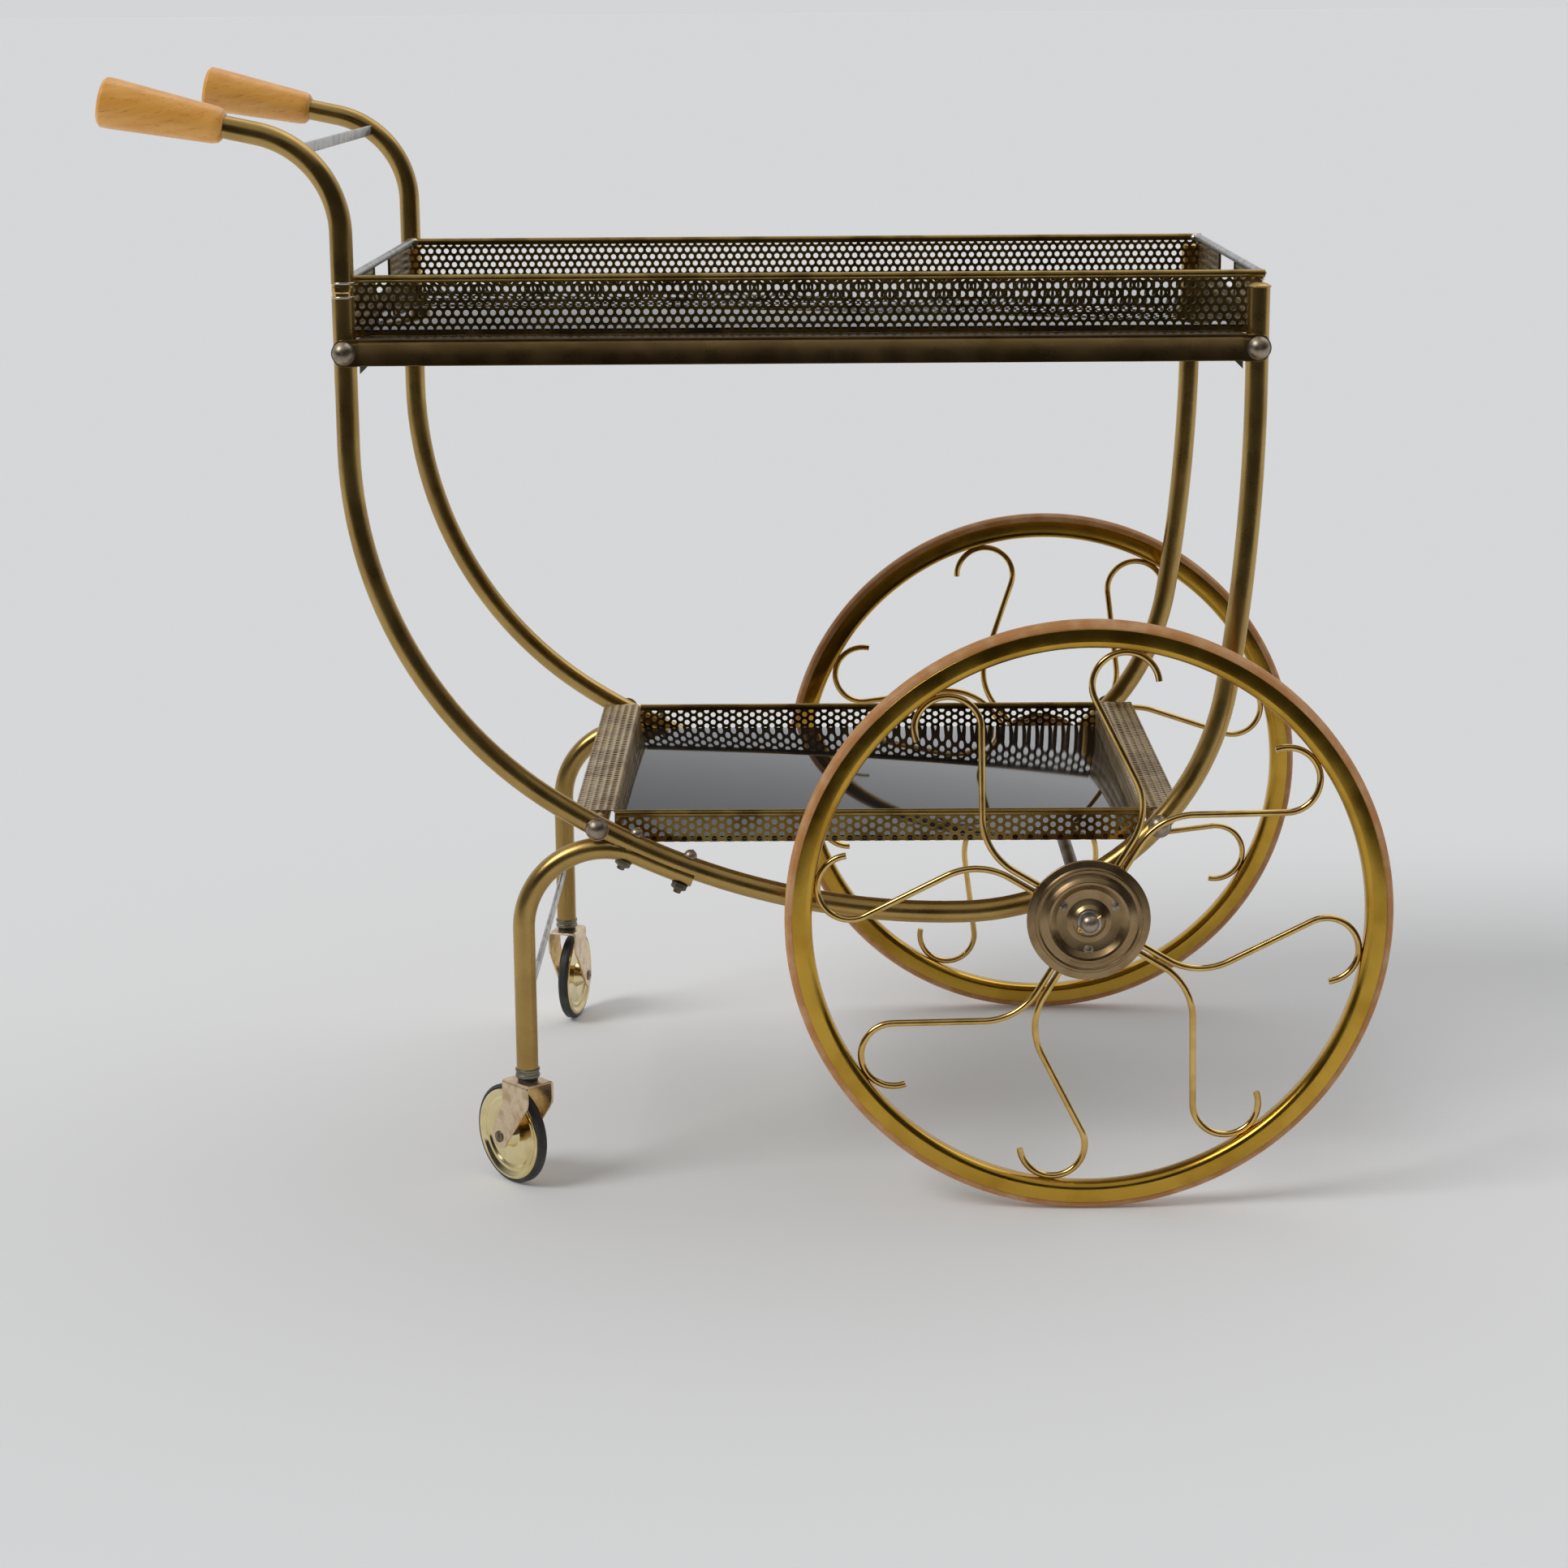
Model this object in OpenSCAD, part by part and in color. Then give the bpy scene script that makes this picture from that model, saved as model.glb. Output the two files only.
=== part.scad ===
// Two-tier serving trolley: two large scroll-spoked wheels at the front, two
// swivel casters at the rear, and two lift-off perforated trays.
// X points forward (large wheels), Y to the left, Z up. The origin is on the
// floor, under the middle of the overall box. All sizes are in millimetres.

/* [Frame] */
// Distance between the rear and front legs of a side tube, centre to centre
frame_len = 635; // [530:5:780]
// Distance between the two side tubes, centre to centre
frame_w = 406; // [340:2:500]
// Outer diameter of the frame tubes
tube_d = 16; // [13:0.5:19]
// Wall of the frame tubes
tube_wall = 1.2; // [0.8:0.1:2]
// Height of the lowest point of the side tubes' centre line
frame_low = 209.6; // [205:1:260]
// Height of the rear end of the side tubes
rear_top = 653.5; // [620:1:760]
// Height of the front end of the side tubes, under the caps
front_top = 657; // [640:1:760]
// Height of the bolts that hold the upper side rails
rail_z = 616; // [600:1:700]
// Height of an upper side rail
rail_h = 19; // [14:1:30]
// Sheet thickness of the rails
rail_t = 1.6; // [1:0.1:3]
// Height of the lower cross bars' centre line
cross_z = 274.5; // [262:1:330]
// Diameter of the lower cross bars
cross_d = 14; // [10:0.5:18]

/* [Handles] */
// Straight length of a handle tube above its joint
handle_rise = 33; // [20:1:80]
// Bend radius of a handle tube
handle_bend_r = 70; // [45:1:100]
// Rise of the grips above level, in degrees
grip_tilt = 12; // [0:1:25]
// Straight length of tube between the bend and the grip
handle_neck = 22.5; // [5:0.5:40]
// Visible length of the joint sleeve between side tube and handle tube
joint_gap = 11; // [4:1:20]
// Length of a wooden grip
grip_len = 85.5; // [60:0.5:130]
// Diameter of a grip at its outer end
grip_big_d = 34.6; // [28:0.5:42]
// Diameter of a grip where the tube enters it
grip_small_d = 25.6; // [22:0.5:30]

/* [Trays] */
// Length of the upper tray, over the middle of its end bars
upper_len = 637; // [520:5:780]
// Height of the upper tray, from its base to the top of its rim
upper_h = 42; // [25:1:70]
// Gap between a tray and the side tubes' inner faces, on each side
tray_side_gap = 2.8; // [1.5:0.1:8]
// Length of the lower tray's well, outside its end walls
lower_len = 381; // [300:5:420]
// Depth of the lower tray, from the top of its rim to its base
lower_h = 24; // [15:1:40]
// Diameter of the half-round rims
rim_d = 5.4; // [4:0.2:8]
// Sheet thickness of the perforated galleries
sheet_t = 0.8; // [0.5:0.1:1.5]
// Thickness of the glass plates
glass_t = 3; // [2:0.5:6]
// Width of each hand hold in the upper tray's ends
hand_w = 94; // [70:1:120]
// Height of each hand hold, below the end bar
hand_h = 24; // [15:1:30]
// How far a lower tray flange reaches out past the well
flange_w = 29; // [20:1:40]

/* [Large wheels] */
// Outer radius of a large wheel, tyre included
wheel_r = 216; // [180:1:250]
// Distance from the middle plane to each large wheel's plane
wheel_y = 246.6; // [236:0.2:290]
// Distance from the axle back to the front leg's centre line
axle_back = 115.4; // [60:1:160]
// Radial height of the tyre outside its rim
tyre_h = 5.5; // [4:0.5:12]
// Width of a large wheel's rim
rim_w = 16; // [12:0.5:24]
// Radial height of a large wheel's rim
rim_h = 14; // [9:0.5:20]
// Diameter of the scroll rods
rod_d = 4.8; // [3:0.2:6]
// Radius of each scroll rod's hook
hook_r = 23.5; // [15:0.5:28]
// Radius of the hub discs
hub_r = 44; // [36:1:50]
// Diameter of the axle
axle_d = 10; // [8:0.5:12]
// Turn of the right wheel's first rod pair, in degrees
phase_right = 149; // [0:1:360]
// Turn of the left wheel's first rod pair, in degrees
phase_left = 129.5; // [0:0.5:360]

/* [Casters] */
// Distance of the caster legs in front of the side tubes' rear legs
leg_in = 114.2; // [95:1:130]
// Bend radius of a caster leg
leg_bend_r = 60; // [50:1:72]
// Height of the lower end of a caster leg
leg_foot_z = 93; // [86:1:110]
// Diameter of a caster wheel, tyre included
caster_d = 75; // [55:1:80]
// Width of a caster tyre
caster_w = 12; // [8:0.5:14]
// Distance from a caster's swivel axis to its wheel's axis
caster_trail = 20; // [12:0.5:26]
// Direction that the right caster trails in, in degrees from forward
caster_yaw_right = 133; // [0:1:360]
// Direction that the left caster trails in, in degrees from forward
caster_yaw_left = 77; // [0:1:360]

/* [Hidden] */
$fn = 64;

// Clearances
run_fit = 0.05;      // radial, shaft in a bore that turns on it
bolt_fit = 0.2;      // radial, bolt through a hole
face_gap = 0.3;      // between faces of pieces that move on each other
seat_gap = 0.1;      // between pieces that rest against each other
seam_t = 0.05;       // height of the collars at the seams of a bent bar
seam_len = 1;        // length of those collars
SIDES = [-1, 1];     // -1 is the right side, +1 is the left side

tube_r = tube_d / 2;
side_y = frame_w / 2;

// The side tube is a straight rear leg and four bends, each [radius / frame_len, turn].
SWEEP = [[0.4806, 57.7], [0.8235, 33.5], [0.3039, 80.3], [2.238, 8.5]];
bend_h = [-90, -90 + SWEEP[0][1], -90 + SWEEP[0][1] + SWEEP[1][1], 90 - SWEEP[3][1], 90];
bend_r = [for (s = SWEEP) s[0] * frame_len];
// Drop of the centre line from the end of the rear leg to its lowest point, in bends 1 and 2
rear_bend_z = frame_low + bend_r[0] * cos(bend_h[1]) + bend_r[1] * (1 - cos(bend_h[1]));

// Overall length, worked out from its three stretches
grip_big_r = grip_big_d / 2;
handle_reach = handle_bend_r * (1 - sin(grip_tilt)) + (handle_neck + grip_len) * cos(grip_tilt)
    + grip_big_r * sin(grip_tilt);
total_len = handle_reach + frame_len - axle_back + wheel_r;
rear_x = handle_reach - total_len / 2;
span = bend_r[0] * (sin(bend_h[1]) + 1) + bend_r[1] * (sin(bend_h[2]) - sin(bend_h[1]))
    + bend_r[2] * (sin(bend_h[3]) - sin(bend_h[2])) + bend_r[3] * (1 - sin(bend_h[3]));
front_x = rear_x + span;
axle_x = front_x - axle_back;

// ---- Paths in the XZ plane: a point is [x, z, heading], a step is [radius, turn],
// ---- and a step of radius 0 is a straight run whose second number is its length
function step_centre(p, s) = let (side = sign(s[1]))
    [p[0] - side * s[0] * sin(p[2]), p[1] + side * s[0] * cos(p[2])];
function step_end(p, s) = s[0] == 0
    ? [p[0] + s[1] * cos(p[2]), p[1] + s[1] * sin(p[2]), p[2]]
    : let (c = step_centre(p, s), h = p[2] + s[1], side = sign(s[1]))
      [c[0] + side * s[0] * sin(h), c[1] - side * s[0] * cos(h), h];
function path_points(p, steps, i = 0) = i == len(steps)
    ? [p]
    : concat([p], path_points(step_end(p, steps[i]), steps, i + 1));

module ring2d(r, wall) {
    difference() {
        circle(r);
        if (wall > 0) circle(r - wall);
    }
}

// One step of a round bar or tube
module path_step(p, s, r, wall) {
    if (s[0] == 0) {
        translate([p[0], 0, p[1]]) rotate([0, 90 - p[2], 0]) linear_extrude(s[1]) ring2d(r, wall);
    } else {
        c = step_centre(p, s);
        from = s[1] > 0 ? p[2] - 90 : p[2] + 90 + s[1];
        translate([c[0], 0, c[1]]) rotate([90, 0, 0])
            rotate_extrude(angle = abs(s[1]), start = from) translate([s[0], 0]) ring2d(r, wall);
    }
}

// A collar a hair thicker than the bar, which closes the seam between two steps
module seam(p, r, wall) {
    translate([p[0], 0, p[1]]) rotate([0, 90 - p[2], 0]) translate([0, 0, -seam_len / 2])
        linear_extrude(seam_len) difference() {
            circle(r + seam_t);
            if (wall > 0) circle(r - wall - seam_t);
        }
}

module path_bar(start, steps, r, wall = 0) {
    points = path_points(start, steps);
    for (i = [0 : len(steps) - 1]) path_step(points[i], steps[i], r, wall);
    for (i = [1 : len(steps) - 1]) seam(points[i], r, wall);
}

// A straight cylinder along a bend of radius r about centre c, touching it at heading h
module tangent_bar(c, r, h, bar_r, length) {
    translate([c[0] + r * sin(h), 0, c[1] - r * cos(h)]) rotate([0, 90 - h, 0])
        cylinder(h = length, r = bar_r, center = true);
}

// A cylinder along Y, from y0 to y1
module y_bar(x, z, r, y0, y1) {
    translate([x, y0, z]) rotate([-90, 0, 0]) cylinder(h = y1 - y0, r = r);
}

// A box from its lowest to its highest corner
module span_box(low, high) {
    translate(low) cube(high - low);
}

// ---- Side tubes
// The sweep's path as steps, from the rear end down, round and up to the front end
SWEEP_STEPS = concat([[0, rear_top - rear_bend_z]],
    [for (i = [0 : 3]) [bend_r[i], bend_h[i + 1] - bend_h[i]]]);
sweep_start = [rear_x, rear_top, -90];
SWEEP_POINTS = path_points(sweep_start, SWEEP_STEPS);
front_run = front_top - SWEEP_POINTS[5][1];
SIDE_STEPS = concat(SWEEP_STEPS, [[0, front_run]]);

// Bend centres: c1 under the rear leg, c2 along the bottom, c3 up to the front leg
c1 = step_centre(SWEEP_POINTS[1], SWEEP_STEPS[1]);
c2 = step_centre(SWEEP_POINTS[2], SWEEP_STEPS[2]);
c3 = step_centre(SWEEP_POINTS[3], SWEEP_STEPS[3]);
// Where the lower cross bars meet the side tubes
cross_rear_x = c2[0] - sqrt(pow(bend_r[1], 2) - pow(c2[1] - cross_z, 2));
cross_front_x = c3[0] + sqrt(pow(bend_r[2], 2) - pow(c3[1] - cross_z, 2));
CROSS_X = [cross_rear_x, cross_front_x];

// Bolts
bolt_r = 3;          // M6
dome_r = 8;          // large dome heads
dome_h = 6.5;
flat_r = dome_r;
small_dome_r = 4.9;  // dome heads of the leg bolts
small_dome_h = 5.5;
nut_w = 10;
nut_h = 5;
BOLT_X = [rear_x, front_x];

// A dome head that stands on the XY plane and points up
module dome(r, h) {
    ball = (r * r + h * h) / (2 * h);
    rotate_extrude() intersection() {
        translate([0, h - ball]) circle(ball);
        square([r, h]);
    }
}

// The caster leg's path: up, over the top, and along under the side tube
leg_x = rear_x + leg_in;
leg_drop = 5.5;      // leg tail's centre below the side tube's centre
tail_r = bend_r[1] + leg_drop;
leg_h = asin((leg_x + leg_bend_r - c2[0]) / (tail_r + leg_bend_r));
leg_top_z = c2[1] - (tail_r + leg_bend_r) * cos(leg_h);
nut_seat = leg_drop + tube_r + 0.3; // depth of the nuts' upper faces below the side tube's centre
bolt_pitch = 43;     // along the side tube
bolt_lead = 8.8;     // first bolt, behind the point where the tail meets the side tube
tail_end = 7.5;      // tail past the second bolt
function tail_turn(length) = length / tail_r * 180 / PI;
tail_len = bolt_pitch - bolt_lead + tail_end;
LEG_STEPS = [[0, leg_top_z - leg_foot_z], [leg_bend_r, leg_h - 90], [tail_r, tail_turn(tail_len)]];
LEG_BOLT_H = [leg_h - tail_turn(bolt_lead), leg_h + tail_turn(bolt_pitch - bolt_lead)];

// Places children at a leg bolt: Z along the bolt, upwards, origin on the side tube's centre
module at_leg_bolt(h) {
    translate([c2[0] + bend_r[1] * sin(h), 0, c2[1] - bend_r[1] * cos(h)]) rotate([0, -h, 0]) children();
}

module side_tube(side) {
    color("#8a6d3b") translate([0, side * side_y, 0]) difference() {
        path_bar(sweep_start, SIDE_STEPS, tube_r, tube_wall);
        for (x = BOLT_X) y_bar(x, rail_z, bolt_r + bolt_fit, -tube_d, tube_d);
        for (x = CROSS_X) y_bar(x, cross_z, bolt_r + bolt_fit, -tube_d, tube_d);
        for (h = LEG_BOLT_H) at_leg_bolt(h)
            translate([0, 0, -tube_d]) cylinder(h = 2 * tube_d, r = bolt_r + bolt_fit);
    }
}

module tube_caps() {
    cap_edge = 0.6;
    cap_h = 2.4;
    color("#9a7a42") for (side = SIDES) translate([front_x, side * side_y, front_top]) {
        cylinder(h = 1, r = tube_r + cap_edge);
        translate([0, 0, 1]) dome(tube_r + cap_edge, cap_h);
        translate([0, 0, -8]) cylinder(h = 8, r = tube_r - tube_wall - seat_gap);
    }
}

// ---- Handles
handle_z = rear_top + joint_gap;
handle_start = [rear_x, handle_z, 90];
sleeve_grip = 18;    // depth of the joint sleeve in each tube
tube_in_grip = 50;   // depth of the handle tube in the grip
handle_turn = 90 - grip_tilt;
HANDLE_STEPS = [[0, handle_rise], [handle_bend_r, handle_turn], [0, handle_neck + tube_in_grip]];
HANDLE_POINTS = path_points(handle_start, HANDLE_STEPS);
bend_end = HANDLE_POINTS[2];
// Where the grip starts, on the handle tube's axis
grip_start = step_end(bend_end, [0, handle_neck]);

module joint_sleeves() {
    color("#b0894a") for (side = SIDES) translate([rear_x, side * side_y, rear_top]) {
        translate([0, 0, -sleeve_grip])
            cylinder(h = joint_gap + 2 * sleeve_grip, r = tube_r - tube_wall - seat_gap);
        for (z = [seat_gap, joint_gap - 1.6]) translate([0, 0, z])
            cylinder(h = 1.5, r = tube_r - 0.4);
    }
}

module handle_tube(side) {
    color("#8a6d3b") translate([0, side * side_y, 0])
        path_bar(handle_start, HANDLE_STEPS, tube_r, tube_wall);
}

// Turned grip: a rounded nose, a taper and a chamfered outer end, bored for the tube
module grip(side) {
    nose = 6;
    nose_r = grip_small_d / 2;
    chamfer = 2.2;
    color("#d9963f") translate([grip_start[0], side * side_y, grip_start[1]])
        rotate([0, 90 - grip_start[2], 0]) difference() {
            rotate_extrude() polygon([[0, 0], [nose_r - 3.6, 0], [nose_r - 1.2, nose * 0.35], [nose_r, nose],
                [grip_big_r, grip_len - 4 * chamfer], [grip_big_r, grip_len - chamfer],
                [grip_big_r - chamfer, grip_len], [0, grip_len]]);
            translate([0, 0, -1]) cylinder(h = tube_in_grip + 2, r = tube_r + seat_gap);
        }
}

// A flat bar across the two handle tubes, on their forward upper faces
stay_turn = 54;      // place of the bar along the handle bend, in degrees
stay_h = 8;
stay_t = 2.5;
module handle_stay() {
    p = step_end(step_end(handle_start, HANDLE_STEPS[0]), [handle_bend_r, stay_turn]);
    reach = side_y - tube_r - seat_gap;
    color("#b5b4ae") translate([p[0], 0, p[1]]) rotate([0, 8, 0])
        span_box([-stay_t / 2, -reach, -stay_h / 2], [stay_t / 2, reach, stay_h / 2]);
}

// ---- Upper frame
rail_top = rail_z + rail_h / 2 + 0.5;
rail_low = rail_top - rail_h;
rail_y = side_y + tube_r + seat_gap;              // inner face of a rail's ends, on the tubes
ledge_in = side_y - tube_r - 9;                   // inner edge of a rail's ledge
rail_end_r = 10;                                  // rounded ends round the bolts
web_y = side_y - tube_r - rail_t - seat_gap;      // inner face of the rail's web

// A side rail: a web inside the tubes with a ledge for the tray, and a rounded strap outside them
module side_rail(side) {
    ledge_from = rear_x + tube_r + 3;
    ledge_to = front_x - tube_r - 3;
    strap_low = rail_z - rail_end_r;
    color("#5f4a2a") scale([1, side, 1]) difference() {
        union() {
            // outer strap, bolt to bolt
            translate([0, rail_y + rail_t, 0]) rotate([90, 0, 0]) linear_extrude(rail_t) union() {
                translate([rear_x, rail_low]) square([front_x - rear_x, rail_h]);
                for (x = BOLT_X) translate([x, rail_z]) circle(rail_end_r);
            }
            // ledge between the tubes, folded in from the strap's top edge
            span_box([ledge_from, ledge_in, rail_top - rail_t], [ledge_to, rail_y + rail_t, rail_top]);
        }
        for (x = BOLT_X) y_bar(x, rail_z, bolt_r + bolt_fit, rail_y - 1, rail_y + rail_t + 1);
    }
}

// End rails: angles across the frame that carry the tray's ends
end_rail_in = 14;
module end_rails() {
    reach = ledge_in - seat_gap;
    color("#5f4a2a") for (x = BOLT_X) {
        inner = x == rear_x ? 1 : -1;
        translate([x, 0, 0]) scale([inner, 1, 1]) {
            span_box([-tube_r, -reach, rail_low], [-tube_r + rail_t, reach, rail_top]);
            span_box([-tube_r + rail_t, -reach, rail_top - rail_t], [end_rail_in, reach, rail_top]);
        }
    }
}

// Triangular plates that brace the rails' ends against the tubes
gusset = 16;
module corner_gussets() {
    low = rail_low - 6;
    color("#8f8f88") for (x = BOLT_X, side = SIDES) {
        inner = x == rear_x ? 1 : -1;
        translate([x + inner * (tube_r + seat_gap), side * (ledge_in + 4) + rail_t / 2, rail_top - rail_t - seat_gap])
            scale([inner, 1, 1]) rotate([90, 0, 0]) linear_extrude(rail_t)
                polygon([[0, 0], [gusset, 0], [gusset, -rail_h / 2], [0, low - rail_top]]);
    }
}

// Bolts with large dome heads through rail strap and tube, with nuts inside the tube line
module rail_bolts() {
    inside = side_y - tube_r - 5;
    color("#8b8375") for (x = BOLT_X, side = SIDES) scale([1, side, 1]) {
        y_bar(x, rail_z, bolt_r, inside, rail_y + rail_t + 0.5);
        translate([x, rail_y + rail_t, rail_z]) rotate([-90, 0, 0]) dome(dome_r, dome_h);
        translate([x, side_y - tube_r - seat_gap, rail_z]) rotate([90, 0, 0])
            cylinder(h = 4, d = nut_w / cos(30), $fn = 6);
    }
}

// ---- Lower cross bars
plug_len = 14;       // solid plug in each end of a cross bar
cross_reach = side_y - tube_r - seat_gap;
module lower_cross_bars() {
    color("#8a6d3b") for (x = CROSS_X) difference() {
        y_bar(x, cross_z, cross_d / 2, -cross_reach, cross_reach);
        y_bar(x, cross_z, cross_d / 2 - tube_wall, -cross_reach + plug_len, cross_reach - plug_len);
        for (side = SIDES) scale([1, side, 1])
            y_bar(x, cross_z, bolt_r + run_fit, cross_reach - plug_len + 2, cross_reach + 1);
    }
}

module cross_bar_bolts() {
    head_y = side_y + tube_r + seat_gap;
    color("#8b8375") for (x = CROSS_X, side = SIDES) scale([1, side, 1]) {
        y_bar(x, cross_z, bolt_r, cross_reach - plug_len + 3, head_y + 0.5);
        translate([x, head_y, cross_z]) rotate([-90, 0, 0]) dome(dome_r, dome_h);
    }
}

// ---- Caster legs
// The tail is pressed to a saddle that fits the side tube from below
module caster_leg(side) {
    saddle_r = tube_r + seat_gap;
    relief = 0.25;       // a straight cut beside the saddle clears the side tube's bend by this much
    LEG_POINTS = path_points([leg_x, leg_foot_z, 90], LEG_STEPS);
    color("#7d6135") translate([0, side * side_y, 0]) difference() {
        union() {
            difference() {
                union() {
                    for (i = [0, 1]) path_step(LEG_POINTS[i], LEG_STEPS[i], tube_r, 0);
                    for (i = [1, 2]) seam(LEG_POINTS[i], tube_r, 0);
                }
                tangent_bar(c2, bend_r[1], leg_h - 1.6, saddle_r + relief, 70);
            }
            translate([c2[0], 0, c2[1]]) rotate([90, 0, 0])
                rotate_extrude(angle = LEG_STEPS[2][1], start = leg_h - 90) difference() {
                    translate([tail_r, 0]) circle(tube_r);
                    translate([bend_r[1], 0]) circle(saddle_r);
                }
        }
        // the hollow of the straight leg takes the caster's socket
        translate([leg_x, 0, leg_foot_z - 1]) cylinder(h = leg_top_z - leg_foot_z - 2, r = tube_r - tube_wall);
        for (h = LEG_BOLT_H) at_leg_bolt(h) {
            translate([0, 0, -2 * tube_d]) cylinder(h = 4 * tube_d, r = bolt_r + bolt_fit);
            // a flat seat for the nut
            translate([0, 0, -2 * tube_d]) cylinder(h = 2 * tube_d - nut_seat + seat_gap, r = nut_w * 0.6 + 0.5);
        }
    }
}

module leg_bolts() {
    color("#8b8375") for (h = LEG_BOLT_H, side = SIDES) translate([0, side * side_y, 0]) at_leg_bolt(h) {
        translate([0, 0, -nut_seat - nut_h - 3]) cylinder(h = nut_seat + nut_h + 3 + tube_r + 1, r = bolt_r);
        translate([0, 0, tube_r + seat_gap]) dome(small_dome_r, small_dome_h);
    }
}

module leg_nuts() {
    color("#9c8450") for (h = LEG_BOLT_H, side = SIDES) translate([0, side * side_y, 0]) at_leg_bolt(h)
        translate([0, 0, -nut_seat - nut_h]) difference() {
            cylinder(h = nut_h, d = nut_w / cos(30), $fn = 6);
            translate([0, 0, -1]) cylinder(h = nut_h + 2, r = bolt_r + run_fit);
        }
}

// A flat bar between the two caster legs
brace_z = 139;
module leg_brace() {
    reach = side_y - tube_r - seat_gap;
    color("#b5b4ae") span_box([leg_x - 1.5, -reach, brace_z - 4], [leg_x + 1.5, reach, brace_z + 4]);
}

// ---- Axle, on lugs under the side tubes
axle_r = axle_d / 2;
lug_r = 9;
lug_w = 14;
axle_z = wheel_r;
cap_face = 9;        // hub cap's nose, outside the wheel's plane
hub_in = 15;         // hub barrel's inner end, inside the wheel's plane
washer_t = 1.2;
washer_r = 8.5;
axle_end = wheel_y + cap_face + 2 * washer_t + 4;
pin_y = wheel_y + cap_face + face_gap + washer_t + 2.3;
pin_r = 0.9;
pin_turn = 35;

// A bar across the axle at each of its ends, for the split pins and their holes
module across_axle(r, length) {
    for (side = SIDES) translate([axle_x, side * pin_y, axle_z]) rotate([0, 90 - pin_turn, 0])
        cylinder(h = length, r = r, center = true);
}

module axle() {
    color("#54462f") difference() {
        y_bar(axle_x, axle_z, axle_r, -axle_end, axle_end);
        across_axle(pin_r + run_fit, axle_d + 2);
    }
}

module axle_lugs() {
    lug_turn = atan2(axle_x - c3[0], c3[1] - axle_z);
    color("#7d6135") for (side = SIDES) translate([0, side * side_y, 0]) difference() {
        union() {
            y_bar(axle_x, axle_z, lug_r, -lug_w / 2, lug_w / 2);
            // a pad that rises from the axle to the side tube, square to the tube
            translate([axle_x, 0, axle_z]) rotate([0, -lug_turn, 0])
                span_box([-lug_r, -lug_w / 2, 0], [lug_r, lug_w / 2, lug_r + 3]);
        }
        y_bar(axle_x, axle_z, axle_r + run_fit, -lug_w, lug_w);
        tangent_bar(c3, bend_r[2], lug_turn, tube_r + seat_gap + 0.25, 60);
    }
}

// Washers on both faces of each wheel's hub
module axle_washers() {
    color("#9b978c") for (side = SIDES) scale([1, side, 1])
        for (y = [wheel_y - hub_in - face_gap - washer_t, wheel_y + cap_face + face_gap])
            difference() {
                y_bar(axle_x, axle_z, washer_r, y, y + washer_t);
                y_bar(axle_x, axle_z, axle_r + run_fit, y - 1, y + washer_t + 1);
            }
}

// Domed caps on the axle's ends
cap_r = 6.5;
module axle_caps() {
    cap_len = 4.5;
    base = wheel_y + cap_face + face_gap + washer_t + seat_gap;
    color("#a09580") difference() {
        for (side = SIDES) scale([1, side, 1]) {
            y_bar(axle_x, axle_z, cap_r, base, base + cap_len);
            translate([axle_x, base + cap_len, axle_z]) rotate([-90, 0, 0]) dome(cap_r, 4);
        }
        y_bar(axle_x, axle_z, axle_r + run_fit, -axle_end - 0.2, axle_end + 0.2);
        across_axle(pin_r + run_fit, 3 * cap_r);
    }
}

module split_pins() {
    color("#a8894e") across_axle(pin_r, 3 * cap_r);
}

// ---- Upper tray
rim_r = rim_d / 2;
upper_half_w = side_y - tube_r - tray_side_gap - rim_r;     // to the side rims' centre line
upper_x = [rear_x + 1.4, rear_x + 1.4 + upper_len];         // to the end bars' centre line
upper_base = rail_top + seat_gap;
upper_rim_z = upper_base + upper_h - rim_r;
pan_t = 1;
wall_half_w = upper_half_w + sheet_t / 2;                   // outer face of the side galleries
wall_x = [upper_x[0] - sheet_t / 2, upper_x[1] + sheet_t / 2];

module tray_walls(x, half_w, low, high) {
    difference() {
        span_box([x[0], -half_w, low], [x[1], half_w, high]);
        span_box([x[0] + sheet_t, -half_w + sheet_t, low - 1], [x[1] - sheet_t, half_w - sheet_t, high + 1]);
    }
}

module upper_tray_pan() {
    color("#8a6d3b") span_box([wall_x[0], -wall_half_w, upper_base], [wall_x[1], wall_half_w, upper_base + pan_t]);
}

module upper_tray_glass() {
    edge = sheet_t + 0.5;
    low = upper_base + pan_t + seat_gap;
    color("#26282b") span_box([wall_x[0] + edge, -wall_half_w + edge, low],
        [wall_x[1] - edge, wall_half_w - edge, low + glass_t]);
}

module upper_tray_gallery() {
    top = upper_rim_z - rim_r - seat_gap;
    color("#a8894e") difference() {
        tray_walls(wall_x, wall_half_w, upper_base + pan_t, top);
        span_box([wall_x[0] - 1, -hand_w / 2, top - hand_h], [wall_x[1] + 1, hand_w / 2, top + 1]);
    }
}

module upper_tray_rims() {
    color("#b08d3e") for (side = SIDES) translate([upper_x[0] - rim_r, side * upper_half_w, upper_rim_z])
        rotate([0, 90, 0]) cylinder(h = upper_x[1] - upper_x[0] + rim_d, r = rim_r);
}

module upper_tray_end_bars() {
    reach = upper_half_w - rim_r - seat_gap;
    color("#b0aea2") for (x = upper_x) y_bar(x, upper_rim_z, rim_r, -reach, reach);
}

// ---- Lower tray, hung by its end flanges on the cross bars
lower_half_w = side_y - tube_r - tray_side_gap - rim_r - 3.4;
lower_mid = (cross_rear_x + cross_front_x) / 2;
well_x = [lower_mid - lower_len / 2, lower_mid + lower_len / 2];
flange_low = cross_z + cross_d / 2 + face_gap;
flange_top = flange_low + sheet_t;
lower_rim_z = flange_top - rim_r;
lower_base = flange_top - lower_h;
lower_wall_half_w = lower_half_w + sheet_t / 2;

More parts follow.
